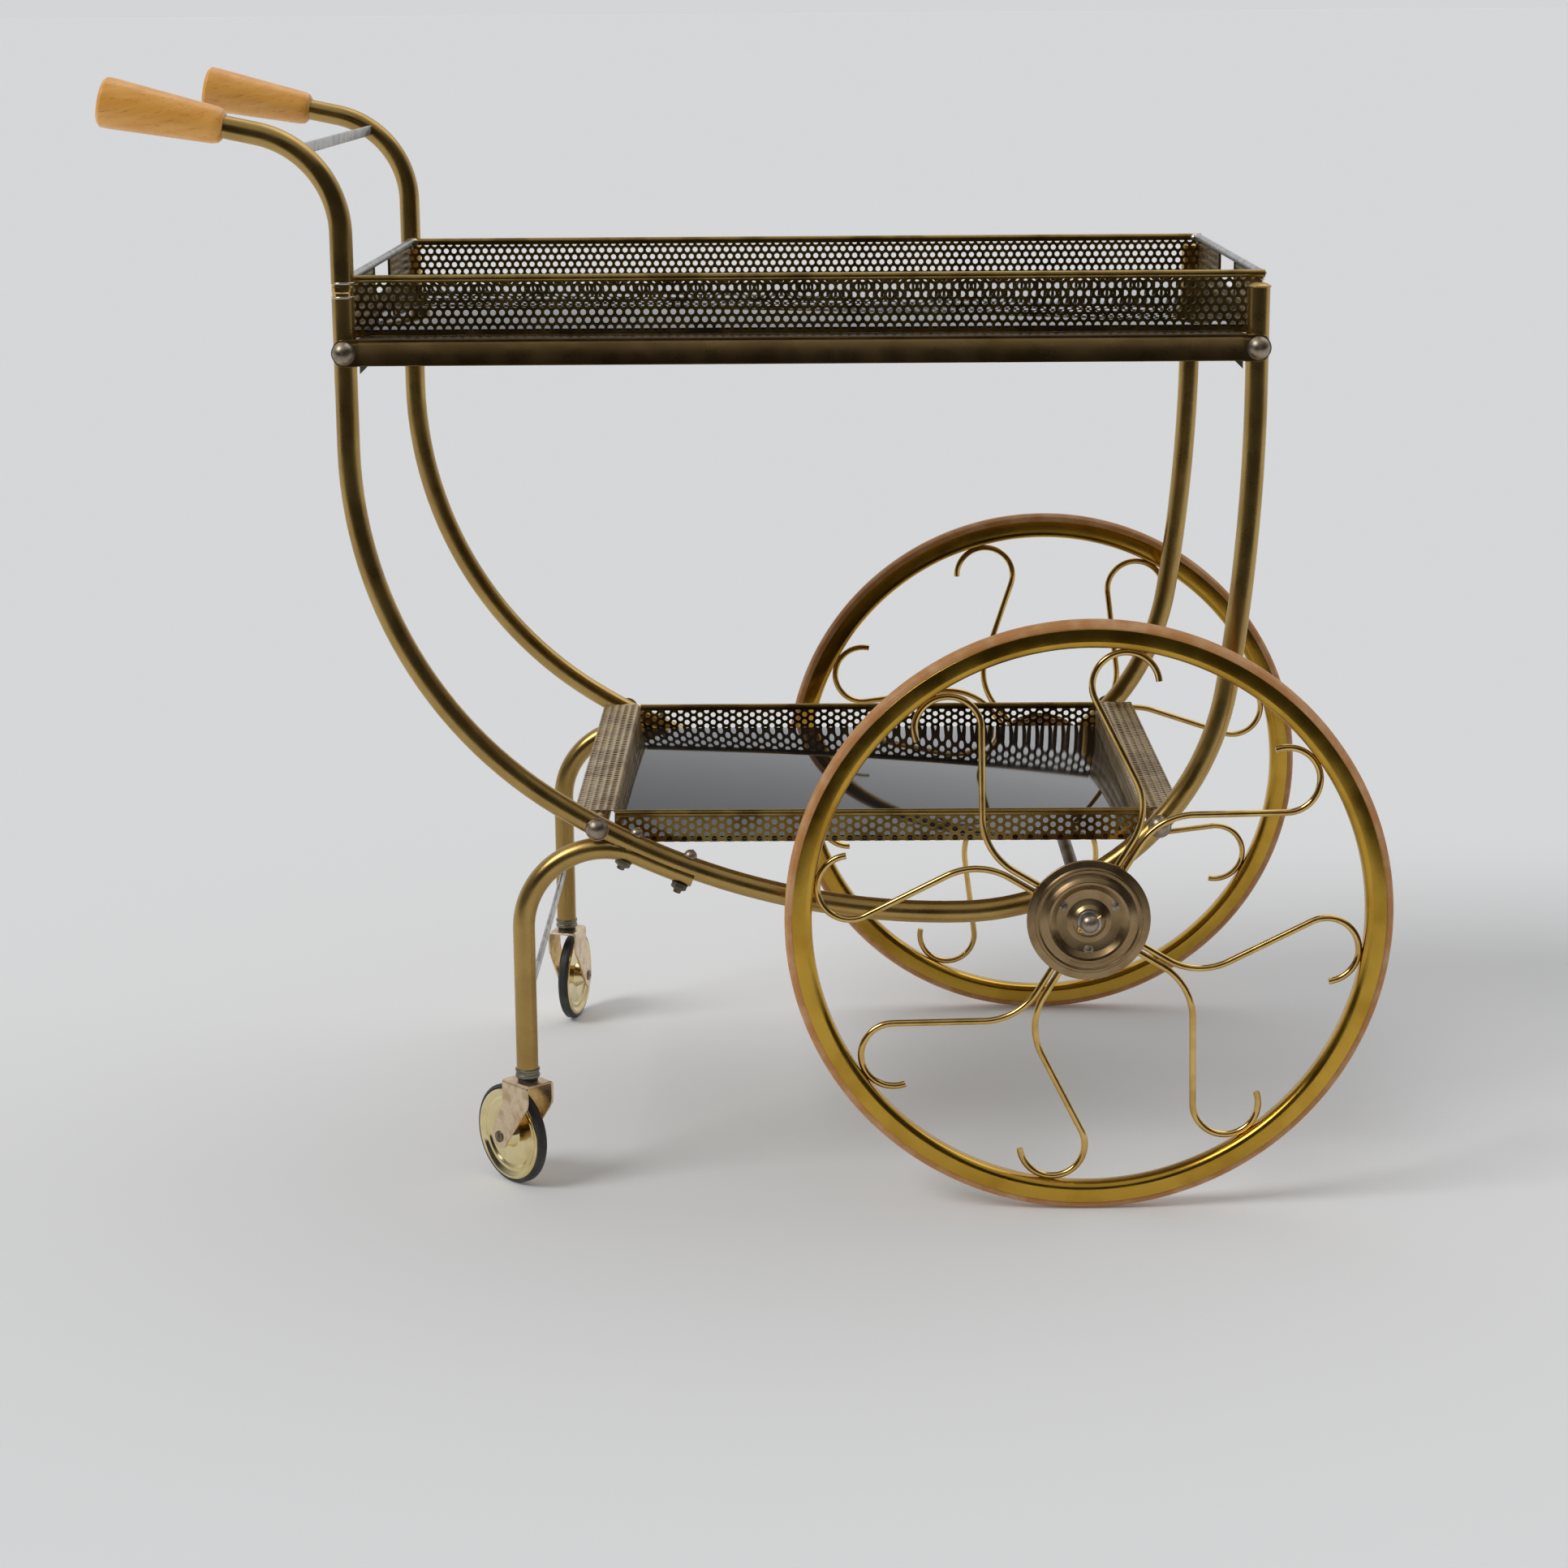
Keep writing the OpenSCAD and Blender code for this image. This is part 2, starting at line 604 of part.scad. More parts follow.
module lower_tray_pan() {
    color("#6d5530") span_box([well_x[0], -lower_wall_half_w, lower_base],
        [well_x[1], lower_wall_half_w, lower_base + pan_t]);
}

module lower_tray_glass() {
    edge = sheet_t + 0.5;
    low = lower_base + pan_t + seat_gap;
    color("#26282b") span_box([well_x[0] + edge, -lower_wall_half_w + edge, low],
        [well_x[1] - edge, lower_wall_half_w - edge, low + glass_t]);
}

// Long side walls
module lower_tray_gallery() {
    color("#a8894e") for (side = SIDES) scale([1, side, 1])
        span_box([well_x[0], lower_wall_half_w - sheet_t, lower_base + pan_t],
            [well_x[1], lower_wall_half_w, lower_rim_z - rim_r - seat_gap]);
}

// End walls that fold out over the cross bars
module lower_tray_flanges() {
    reach = lower_wall_half_w - sheet_t - seat_gap;
    color("#9d8450") for (end = [0, 1]) translate([well_x[end], 0, 0]) scale([end == 0 ? 1 : -1, 1, 1]) {
        span_box([0, -reach, lower_base + pan_t], [sheet_t, reach, flange_top]);
        span_box([-flange_w, -reach, flange_low], [0, reach, flange_top]);
    }
}

module lower_tray_rims() {
    inset = sheet_t + seat_gap;
    color("#b08d3e") for (side = SIDES) translate([well_x[0] + inset, side * lower_half_w, lower_rim_z])
        rotate([0, 90, 0]) cylinder(h = lower_len - 2 * inset, r = rim_r);
}

// ---- Large wheels, drawn with the axle along Z, the outside towards +Z and the wheel's plane at 0
rim_out = wheel_r - tyre_h;
rim_in = rim_out - rim_h;
rod_r = rod_d / 2;
rod_gap = 0.5;                       // half the gap between the two rods of a pair
rod_start = 30;                      // where the rods end inside the hub
rod_bend_from = 64;
rod_bend_r = 46;
hook_turn = 200;                     // turn of a hook, from the straight to the tip
braze = 0.3;                         // the hooks sink into the rim by this much
hook_dist = rim_in + braze - rod_r - hook_r; // hub centre to hook centre
hook_dir = 23;                       // direction of a hook's centre, from its pair's axis

module place_wheel(side, phase) {
    translate([axle_x, side * wheel_y, axle_z]) rotate([0, -phase, 0]) rotate([-90 * side, 0, 0]) children();
}

module wheel_tyre(side, phase) {
    half = rim_w / 2 - 1;
    crown = 2.2;
    seat = rim_out - 4;
    color("#b98a66") place_wheel(side, phase) rotate_extrude() polygon([
        [seat, -half], [wheel_r - crown, -half], [wheel_r, -half + 2 * crown],
        [wheel_r, half - 2 * crown], [wheel_r - crown, half], [seat, half]]);
}

// A folded channel: round inner corners, open outwards for the tyre
module wheel_rim(side, phase) {
    half = rim_w / 2;
    corner = min(5, half - 1, rim_h - 5);
    lip = 0.9;
    seat = rim_out - 4 - seat_gap;
    color("#a98a35") place_wheel(side, phase) rotate_extrude() difference() {
        union() {
            translate([rim_in + corner, -half]) square([rim_h - corner, rim_w]);
            translate([rim_in, -half + corner]) square([rim_h, rim_w - 2 * corner]);
            for (end = SIDES) translate([rim_in + corner, end * (half - corner)]) circle(corner);
        }
        translate([seat, -half + lip]) square([rim_h, rim_w - 2 * lip]);
    }
}

// One scroll rod beside the X axis: straight out of the hub, a bend, a straight and a hook
module scroll_rod() {
    first = [rod_bend_from, rod_gap + rod_r];
    bend_c = first + [0, rod_bend_r];
    hook_c = hook_dist * [cos(hook_dir), sin(hook_dir)];
    between = hook_c - bend_c;
    straight = sqrt(between * between - pow(rod_bend_r + hook_r, 2));
    turn = atan2(between[1], between[0]) + atan2(rod_bend_r + hook_r, straight);
    rotate([-90, 0, 0]) path_bar([rod_start, first[1], 0],
        [[0, rod_bend_from - rod_start], [rod_bend_r, turn], [0, straight], [hook_r, -hook_turn]], rod_r);
}

module wheel_scrolls(side, phase) {
    color("#c29a4b") place_wheel(side, phase)
        for (pair = [0 : 3], flip = SIDES) rotate(pair * 90) scale([1, flip, 1]) scroll_rod();
}

disc_t = 1.2;
SCREW_ANGLES = [30, 150, 270];
screw_pcd_r = 21.4;
screw_r = 1.5;
screw_head_r = 3.5;
hub_half = rod_r + 0.1;              // discs' inner faces, from the wheel's plane
cap_low = hub_half;
screw_seat = cap_low + 2.5;
barrel_r = 9;

// Stepped outer disc with a recessed dish, bored for the hub barrel's nose
module hub_cap(side, phase) {
    color("#8c6c3f") place_wheel(side, phase) difference() {
        rotate_extrude() translate([0, cap_low]) polygon([
            [0, 0], [hub_r, 0], [hub_r, 1.8], [hub_r - 5.5, 2.2], [hub_r - 6, 3.6], [hub_r - 8, 3.6],
            [hub_r - 9, 2.8], [hub_r - 12, 4.4], [hub_r - 15, 6.6], [hub_r - 17, 6],
            [hub_r - 21, 3], [hub_r - 28, 2.4], [hub_r - 32, 4.2], [hub_r - 34.5, cap_face - cap_low],
            [0, cap_face - cap_low]]);
        translate([0, 0, -1]) cylinder(h = cap_face + 2, r = axle_r + run_fit + 0.15);
        for (a = SCREW_ANGLES) rotate(a + side * phase) translate([screw_pcd_r, 0, 0]) {
            cylinder(h = cap_face, r = screw_r + run_fit);
            // a flat seat for the screw's head
            translate([0, 0, screw_seat]) cylinder(h = cap_face, r = screw_head_r + seat_gap);
        }
    }
}

// Flat inner disc
module hub_plate(side, phase) {
    plate_t = 2.5;
    color("#7d6135") place_wheel(side, phase) difference() {
        translate([0, 0, -hub_half - plate_t]) cylinder(h = plate_t, r = hub_r - 2);
        translate([0, 0, -hub_in]) cylinder(h = hub_in, r = barrel_r + seat_gap);
        for (a = SCREW_ANGLES) rotate(a + side * phase) translate([screw_pcd_r, 0, -hub_in])
            cylinder(h = hub_in, r = screw_r + run_fit);
    }
}

// Bearing barrel that turns on the axle
module hub_barrel(side, phase) {
    color("#8b8375") place_wheel(side, phase) difference() {
        translate([0, 0, -hub_in]) cylinder(h = hub_in + cap_low - seat_gap, r = barrel_r);
        translate([0, 0, -hub_in - 1]) cylinder(h = 2 * hub_in, r = axle_r + run_fit);
    }
}

module hub_screws(side, phase) {
    head_z = screw_seat + seat_gap;
    color("#b3ada0") place_wheel(side, phase) for (a = SCREW_ANGLES)
        rotate(a + side * phase) translate([screw_pcd_r, 0, 0]) difference() {
            union() {
                translate([0, 0, -hub_half - 4]) cylinder(h = head_z + hub_half + 4, r = screw_r);
                translate([0, 0, head_z]) dome(screw_head_r, 1.8);
            }
            translate([0, 0, head_z + 1.8]) cube([8, 0.8, 1.6], center = true);
        }
}

// ---- Casters
caster_r = caster_d / 2;
disc_r = caster_r - 3.2;
CASTER_YAW = [caster_yaw_right, caster_yaw_left];
function yaw(side) = side < 0 ? CASTER_YAW[0] : CASTER_YAW[1];
stem_r = 5;
socket_low = leg_foot_z - 7;
fork_top = socket_low - 2.5;
fork_t = 2;
fork_in = caster_w / 2 + 2.6;        // inner faces of the fork's cheeks
caster_pin_r = 3;

// Socket in the foot of each leg, with a collar under the tube's end
module caster_sockets() {
    color("#77776a") for (side = SIDES) translate([leg_x, side * side_y, 0]) difference() {
        union() {
            translate([0, 0, socket_low]) cylinder(h = leg_foot_z - seat_gap - socket_low, r = tube_r + 1);
            translate([0, 0, leg_foot_z - 1]) cylinder(h = 30, r = tube_r - tube_wall - seat_gap);
        }
        translate([0, 0, socket_low - 1]) cylinder(h = 33, r = stem_r + run_fit);
    }
}

// Places children in the caster's own frame: X trails back from the stem, Y along the wheel's axle
module place_caster(side) {
    translate([leg_x, side * side_y, 0]) rotate(yaw(side)) children();
}

module cheek_outline() {
    boss = 9;
    difference() {
        union() {
            polygon([[-13, fork_top], [-13, fork_top - 19], [caster_trail - 5.5, caster_r - 7],
                [caster_trail + boss - 0.6, caster_r + 3], [14, fork_top - 22], [14, fork_top]]);
            translate([caster_trail, caster_r]) circle(boss);
        }
        translate([caster_trail, caster_r]) circle(caster_pin_r + run_fit);
    }
}

// Bent fork with a riveted stem
module caster_fork(side) {
    color("#c7a583") place_caster(side) union() {
        for (s = SIDES) scale([1, s, 1]) translate([0, fork_in + fork_t, 0]) rotate([90, 0, 0])
            linear_extrude(fork_t) cheek_outline();
        span_box([-13, -fork_in - fork_t, fork_top - fork_t], [14, fork_in + fork_t, fork_top]);
        translate([0, 0, fork_top]) cylinder(h = 2.5 - face_gap, r = stem_r + 2.5);
        translate([0, 0, fork_top]) cylinder(h = 30, r = stem_r);
    }
}

module caster_axle(side) {
    reach = fork_in + fork_t;
    head_r = 4.4;
    color("#6d6a58") place_caster(side) translate([caster_trail, 0, caster_r]) {
        y_bar(0, 0, caster_pin_r, -reach - 0.4, reach + 0.4);
        for (s = SIDES) scale([1, s, 1]) y_bar(0, 0, head_r, reach + seat_gap, reach + 1.5);
    }
}

// Pressed wheel disc: a flanged edge, a step and a dish, alike on both faces
module caster_disc(side) {
    half = caster_w / 2;
    hub_half_w = fork_in - face_gap;
    color("#d3bd7c") place_caster(side) translate([caster_trail, 0, caster_r]) rotate([90, 0, 0])
        rotate_extrude() difference() {
            polygon([[0, -hub_half_w], [8, -hub_half_w], [11, -half + 2.4], [disc_r - 9, -half + 3], [disc_r - 7, -half + 0.8],
                [disc_r - 2, -half - 0.4], [disc_r, -half], [disc_r, half], [disc_r - 2, half + 0.4],
                [disc_r - 7, half - 0.8], [disc_r - 9, half - 3], [11, half - 2.4], [8, hub_half_w], [0, hub_half_w]]);
            translate([-1, -caster_w]) square([1 + caster_pin_r + run_fit, 2 * caster_w]);
        }
}

module caster_tyre(side) {
    half = caster_w / 2;
    shoulder = 2;
    inner = disc_r + seat_gap;
    color("#3a3b3a") place_caster(side) translate([caster_trail, 0, caster_r]) rotate([90, 0, 0])
        rotate_extrude() polygon([[inner, -half + 0.4], [caster_r - shoulder, -half + 0.4], [caster_r, -half + shoulder],
            [caster_r, half - shoulder], [caster_r - shoulder, half - 0.4], [inner, half - 0.4]]);
}

RIGHT = -1;
LEFT = 1;
side_tube(LEFT);  // side_tube_left
side_tube(RIGHT);  // side_tube_right
tube_caps();
joint_sleeves();
handle_tube(LEFT);  // handle_tube_left
handle_tube(RIGHT);  // handle_tube_right
grip(LEFT);  // grip_left
grip(RIGHT);  // grip_right
handle_stay();
side_rail(LEFT);  // side_rail_left
side_rail(RIGHT);  // side_rail_right
end_rails();
corner_gussets();
rail_bolts();
lower_cross_bars();
cross_bar_bolts();
caster_leg(LEFT);  // caster_leg_left
caster_leg(RIGHT);  // caster_leg_right
leg_bolts();
leg_nuts();
leg_brace();
axle();
axle_lugs();
axle_washers();
axle_caps();
split_pins();
upper_tray_pan();
upper_tray_gallery();
upper_tray_rims();
upper_tray_end_bars();
upper_tray_glass();
lower_tray_pan();
lower_tray_gallery();
lower_tray_flanges();
lower_tray_rims();
lower_tray_glass();
wheel_tyre(LEFT, phase_left);  // wheel_tyre_left
wheel_rim(LEFT, phase_left);  // wheel_rim_left
wheel_scrolls(LEFT, phase_left);  // wheel_scrolls_left
hub_cap(LEFT, phase_left);  // hub_cap_left
hub_plate(LEFT, phase_left);  // hub_plate_left
hub_barrel(LEFT, phase_left);  // hub_barrel_left
hub_screws(LEFT, phase_left);  // hub_screws_left
wheel_tyre(RIGHT, phase_right);  // wheel_tyre_right
wheel_rim(RIGHT, phase_right);  // wheel_rim_right
wheel_scrolls(RIGHT, phase_right);  // wheel_scrolls_right
hub_cap(RIGHT, phase_right);  // hub_cap_right
hub_plate(RIGHT, phase_right);  // hub_plate_right
hub_barrel(RIGHT, phase_right);  // hub_barrel_right
hub_screws(RIGHT, phase_right);  // hub_screws_right
caster_sockets();
caster_fork(LEFT);  // caster_fork_left
caster_axle(LEFT);  // caster_axle_left
caster_disc(LEFT);  // caster_disc_left
caster_tyre(LEFT);  // caster_tyre_left
caster_fork(RIGHT);  // caster_fork_right
caster_axle(RIGHT);  // caster_axle_right
caster_disc(RIGHT);  // caster_disc_right
caster_tyre(RIGHT);  // caster_tyre_right
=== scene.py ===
# %% [markdown]
# # A two-tier serving trolley
# The trolley has two swept side tubes, two lift-off trays with perforated edges, two large
# wheels with scroll rods, and two swivel casters. The CAD model gives every size and place.
# Here each visible piece gets its final shape and finish, and rides on its CAD body.

# %% The frame
import math
import bpy
import bmesh
from mathutils import Matrix, Vector


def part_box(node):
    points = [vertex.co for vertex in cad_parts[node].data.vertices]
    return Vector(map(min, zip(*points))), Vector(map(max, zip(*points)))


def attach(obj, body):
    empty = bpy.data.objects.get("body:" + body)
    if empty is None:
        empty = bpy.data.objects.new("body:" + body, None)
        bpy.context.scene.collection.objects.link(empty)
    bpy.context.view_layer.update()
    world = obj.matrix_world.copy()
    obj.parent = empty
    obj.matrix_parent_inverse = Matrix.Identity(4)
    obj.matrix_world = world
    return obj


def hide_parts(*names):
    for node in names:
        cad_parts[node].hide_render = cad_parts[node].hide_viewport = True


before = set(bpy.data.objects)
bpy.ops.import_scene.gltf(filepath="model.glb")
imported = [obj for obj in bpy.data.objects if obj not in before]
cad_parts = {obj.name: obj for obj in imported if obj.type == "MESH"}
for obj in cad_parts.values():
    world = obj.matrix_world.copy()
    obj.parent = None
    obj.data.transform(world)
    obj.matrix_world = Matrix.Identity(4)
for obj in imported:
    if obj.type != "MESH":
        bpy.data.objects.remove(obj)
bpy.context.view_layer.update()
MM = 0.001
TINY = 1e-7
SIDES = {"left": 1, "right": -1}

# %% [markdown]
# ## Small helpers
# Most of a trolley is turned, bent or cut from sheet. So three helpers make most pieces: one
# turns a profile round an axis, one thickens a flat outline, and one names, paints and mounts
# a finished mesh. Corners of a profile get a small round, because a real edge always catches
# a little light.

# %% Name, paint and mount a piece
def mount(name, mesh, finish, body, stands_for=(), sharp=38):
    mesh.name = name
    piece = bpy.data.objects.new(name, mesh)
    bpy.context.scene.collection.objects.link(piece)
    mesh.materials.clear()
    mesh.materials.append(finish)
    mesh.polygons.foreach_set("material_index", [0] * len(mesh.polygons))
    mesh.polygons.foreach_set("use_smooth", [True] * len(mesh.polygons))
    mesh.set_sharp_from_angle(angle=math.radians(sharp))
    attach(piece, body)
    if stands_for:
        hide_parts(*stands_for)
    return piece


def faced_out(mesh, weld=None):
    """Turns every face outwards, after welding points closer than weld."""
    shape = bmesh.new()
    shape.from_mesh(mesh)
    if weld:
        bmesh.ops.remove_doubles(shape, verts=shape.verts, dist=weld)
    bmesh.ops.recalc_face_normals(shape, faces=shape.faces)
    shape.to_mesh(mesh)
    shape.free()
    return mesh


def mesh_of(points, faces):
    mesh = bpy.data.meshes.new("shape")
    mesh.from_pydata([tuple(p) for p in points], [], faces)
    return faced_out(mesh, TINY)


def from_bmesh(shape, name="shape"):
    mesh = bpy.data.meshes.new(name)
    shape.to_mesh(mesh)
    shape.free()
    return mesh


def joined(meshes):
    whole = bmesh.new()
    for mesh in meshes:
        whole.from_mesh(mesh)
    return from_bmesh(whole)


def with_modifiers(carrier):
    """The carrier's mesh with its modifiers applied. The carrier itself is removed."""
    seen = bpy.context.evaluated_depsgraph_get()
    result = bpy.data.meshes.new_from_object(carrier.evaluated_get(seen), depsgraph=seen)
    bpy.data.objects.remove(carrier)
    return result


# %% Round the corners of a flat outline
def box_outline(x0, y0, x1, y1):
    return [(x0, y0), (x1, y0), (x1, y1), (x0, y1)]


def rounded(outline, radius, steps=3):
    """outline is a closed list of (x, y, radius?) points; each corner becomes an arc."""
    result = []
    count = len(outline)
    for i, corner in enumerate(outline):
        here = Vector(corner[:2])
        before, after = Vector(outline[i - 1][:2]), Vector(outline[(i + 1) % count][:2])
        r = corner[2] if len(corner) > 2 else radius
        a, b = before - here, after - here
        if r <= 0 or a.length < 1e-9 or b.length < 1e-9:
            result.append(here)
            continue
        half = a.angle(b) / 2
        if half > math.radians(88) or half < math.radians(2):
            result.append(here)
            continue
        cut = min(r / math.tan(half), 0.49 * a.length, 0.49 * b.length)
        r = cut * math.tan(half)
        start, end = here + a.normalized() * cut, here + b.normalized() * cut
        centre = here + (a.normalized() + b.normalized()).normalized() * (r / math.sin(half))
        from_c, to_c = start - centre, end - centre
        turn = from_c.angle_signed(to_c)
        for k in range(steps + 1):
            spin = Matrix.Rotation(-turn * k / steps, 2)
            result.append(centre + spin @ from_c)
    return result


# %% Turn a profile round the Z axis, and thicken an outline along Z
def turned(profile, place, parts=64):
    """profile is a closed list of (radius, height), in metres."""
    points, rings = [], []
    for r, h in profile:
        if r < TINY:
            rings.append([len(points)])
            points.append((0, 0, h))
        else:
            rings.append(list(range(len(points), len(points) + parts)))
            points += [(r * math.cos(2 * math.pi * k / parts), r * math.sin(2 * math.pi * k / parts), h)
                       for k in range(parts)]
    faces = []
    for i, lower in enumerate(rings):
        upper = rings[(i + 1) % len(rings)]
        if len(lower) == 1 and len(upper) == 1:
            continue
        for k in range(parts):
            n = (k + 1) % parts
            if len(lower) == 1:
                faces.append((lower[0], upper[n], upper[k]))
            elif len(upper) == 1:
                faces.append((lower[k], lower[n], upper[0]))
            else:
                faces.append((lower[k], lower[n], upper[n], upper[k]))
    mesh = mesh_of(points, faces)
    mesh.transform(place)
    if place.determinant() < 0:
        mesh.flip_normals()
    return mesh


def raised(sheet, thickness):
    """Extrudes the faces of a flat sheet along Z."""
    top = bmesh.ops.extrude_face_region(sheet, geom=sheet.faces[:])
    bmesh.ops.translate(sheet, verts=[v for v in top["geom"] if isinstance(v, bmesh.types.BMVert)],
                        vec=(0, 0, thickness))


def slab(outline, thickness, place, edge=0.0):
    """outline lies in XY; the slab goes from z 0 to thickness, with softened edges."""
    sheet = bmesh.new()
    sheet.faces.new([sheet.verts.new((p[0], p[1], 0)) for p in outline])
    raised(sheet, thickness)
    bmesh.ops.recalc_face_normals(sheet, faces=sheet.faces)
    if edge:
        rims = [e for e in sheet.edges if len(e.link_faces) == 2
                and abs(e.verts[0].co.z - e.verts[1].co.z) < 1e-9
                and e.calc_face_angle(0) > math.radians(60)]
        bmesh.ops.bevel(sheet, geom=rims, offset=edge, segments=2, affect="EDGES", profile=0.6)
    mesh = from_bmesh(sheet)
    mesh.transform(place)
    return mesh


def at(x=0, y=0, z=0):
    return Matrix.Translation((x, y, z))


def spun(degrees, axis):
    return Matrix.Rotation(math.radians(degrees), 4, axis)


# %% [markdown]
# ## Bars and tubes that follow a line
# Side tubes, handles, legs, rims and scroll rods are all round bar or tube bent along a line.
# One Geometry Nodes tree sweeps the side tubes, handles, tray rims, cross bars and scroll rods: the
# piece is first only a line of points, and the tree turns it into a curve and sweeps a circle along it.
# Changing a bend then only means changing the line.

# %% The tree that sweeps a circle
def new_tree(name, inputs):
    tree = bpy.data.node_groups.new(name, "GeometryNodeTree")
    for label, kind in inputs:
        tree.interface.new_socket(label, in_out="INPUT", socket_type=kind)
    tree.interface.new_socket("Geometry", in_out="OUTPUT", socket_type="NodeSocketGeometry")
    return tree, tree.nodes.new("NodeGroupInput"), tree.nodes.new("NodeGroupOutput")


def realised(tree, shape):
    real = tree.nodes.new("GeometryNodeRealizeInstances")
    tree.links.new(shape, real.inputs["Geometry"])
    return real.outputs["Geometry"]


def painted(tree, given, end, shape):
    """The last step of every tree: the finish is set on the real mesh."""
    paint = tree.nodes.new("GeometryNodeSetMaterial")
    tree.links.new(shape, paint.inputs["Geometry"])
    tree.links.new(given.outputs["Finish"], paint.inputs["Material"])
    tree.links.new(paint.outputs["Geometry"], end.inputs["Geometry"])
    return tree


def sweep_tree():
    tree, given, end = new_tree("bar_along_a_line", [
        ("Line", "NodeSocketGeometry"), ("Radius", "NodeSocketFloat"),
        ("Sides", "NodeSocketInt"), ("Finish", "NodeSocketMaterial")])
    add, link = tree.nodes.new, tree.links.new
    curve = add("GeometryNodeMeshToCurve")
    ring = add("GeometryNodeCurvePrimitiveCircle")
    sweep = add("GeometryNodeCurveToMesh")
    sweep.inputs["Fill Caps"].default_value = True
    link(given.outputs["Line"], curve.inputs["Mesh"])
    link(given.outputs["Radius"], ring.inputs["Radius"])
    link(given.outputs["Sides"], ring.inputs["Resolution"])
    link(curve.outputs["Curve"], sweep.inputs["Curve"])
    link(ring.outputs["Curve"], sweep.inputs["Profile Curve"])
    return painted(tree, given, end, realised(tree, sweep.outputs["Mesh"]))


def grown(mesh, tree, values):
    """Runs a tree on a mesh and returns the result as a plain mesh."""
    carrier = bpy.data.objects.new("carrier", mesh)
    bpy.context.scene.collection.objects.link(carrier)
    nodes = carrier.modifiers.new("shape", "NODES")
    nodes.node_group = tree
    for item in tree.interface.items_tree:
        if item.item_type == "SOCKET" and item.in_out == "INPUT" and item.name in values:
            nodes[item.identifier] = values[item.name]
    result = with_modifiers(carrier)
    bpy.data.meshes.remove(mesh)
    return result


BAR = sweep_tree()


def bars(lines, radius, finish, sides=28):
    points, edges = [], []
    for line in lines:
        first = len(points)
        points += [tuple(p) for p in line]
        edges += [(first + i, first + i + 1) for i in range(len(line) - 1)]
    mesh = bpy.data.meshes.new("line")
    mesh.from_pydata(points, edges, [])
    return faced_out(grown(mesh, BAR, {"Radius": radius, "Sides": sides, "Finish": finish}))


# %% Lines made of straight runs and bends, as in the CAD
BEND_STEP, STRAIGHT_STEP = 3.0, 0.03  # degrees, metres


def step_centre(point, step):
    """point is (x, z, heading). A step is (radius, turn), or (0, length) for a straight run."""
    x, z, h = point
    side = math.copysign(1, step[1])
    return (x - side * step[0] * math.sin(math.radians(h)), z + side * step[0] * math.cos(math.radians(h)))


def step_end(point, step, share=1.0):
    x, z, h = point
    radius, turn = step[0], step[1] * share
    if radius == 0:
        return (x + turn * math.cos(math.radians(h)), z + turn * math.sin(math.radians(h)), h)
    cx, cz = step_centre(point, step)
    side = math.copysign(1, step[1])
    a = math.radians(h + turn)
    return (cx + side * radius * math.sin(a), cz - side * radius * math.cos(a), h + turn)


def corners(start, steps):
    points = [start]
    for step in steps:
        points.append(step_end(points[-1], step))
    return points


def bent(start, steps, run=0.012):
    """Points along the whole line: at most run and BEND_STEP apart in a bend, STRAIGHT_STEP apart else."""
    line, here = [start], start
    for step in steps:
        radius, turn = step
        if radius:
            count = math.ceil(abs(turn) / min(BEND_STEP, math.degrees(run / radius)))
        else:
            count = math.ceil(turn / STRAIGHT_STEP)
        line += [step_end(here, step, k / count) for k in range(1, count + 1)]
        here = line[-1]
    return line


def in_plane(line, y):
    return [(p[0], y, p[1]) for p in line]


# %% [markdown]
# ## Finishes
# Old lacquered brass is never one colour. It has broad brown patches where the lacquer has
# darkened, fine specks, and a grain left by polishing. Each finish below mixes two tones of
# the metal with slow noise, adds specks with fast noise, and lets the same noise drive the
# roughness and a very small bump. All patterns sit on Object coordinates, in metres.

# %% A helper that starts a finish
def new_finish(name):
    finish = bpy.data.materials.new(name)
    finish.use_nodes = True
    nodes, links = finish.node_tree.nodes, finish.node_tree.links
    shader = nodes["Principled BSDF"]
    place = nodes.new("ShaderNodeTexCoord")
    return finish, nodes, links, shader, place.outputs["Object"]


def noise(nodes, links, place, scale, detail=3.0, stretch=None):
    if stretch:
        mapping = nodes.new("ShaderNodeMapping")
        mapping.inputs["Scale"].default_value = stretch
        links.new(place, mapping.inputs["Vector"])
        place = mapping.outputs["Vector"]
    texture = nodes.new("ShaderNodeTexNoise")
    texture.inputs["Scale"].default_value = scale
    texture.inputs["Detail"].default_value = detail
    links.new(place, texture.inputs["Vector"])
    return texture.outputs["Fac"]


def levels(nodes, links, value, low, high, to_low=0.0, to_high=1.0):
    node = nodes.new("ShaderNodeMapRange")
    node.inputs["From Min"].default_value = low
    node.inputs["From Max"].default_value = high
    node.inputs["To Min"].default_value = to_low
    node.inputs["To Max"].default_value = to_high
    links.new(value, node.inputs["Value"])
    return node.outputs["Result"]


def blend_tones(nodes, links, share, first, second):
    node = nodes.new("ShaderNodeMix")
    node.data_type = "RGBA"
    links.new(share, node.inputs["Factor"])
    for socket, tone in ((node.inputs[6], first), (node.inputs[7], second)):
        if isinstance(tone, tuple):
            socket.default_value = (*tone, 1)
        else:
            links.new(tone, socket)
    return node.outputs[2]


# %% Metals
SPECK_SCALE, GRAIN_SCALE, GRAIN_DEPTH = 620.0, 900.0, 0.00003


def grainy(nodes, links, shader, place, scale, strength, depth):
    """A very small bump from fast noise."""
    bump = nodes.new("ShaderNodeBump")
    bump.inputs["Strength"].default_value = strength
    bump.inputs["Distance"].default_value = depth
    links.new(noise(nodes, links, place, scale, 3.0), bump.inputs["Height"])
    links.new(bump.outputs["Normal"], shader.inputs["Normal"])


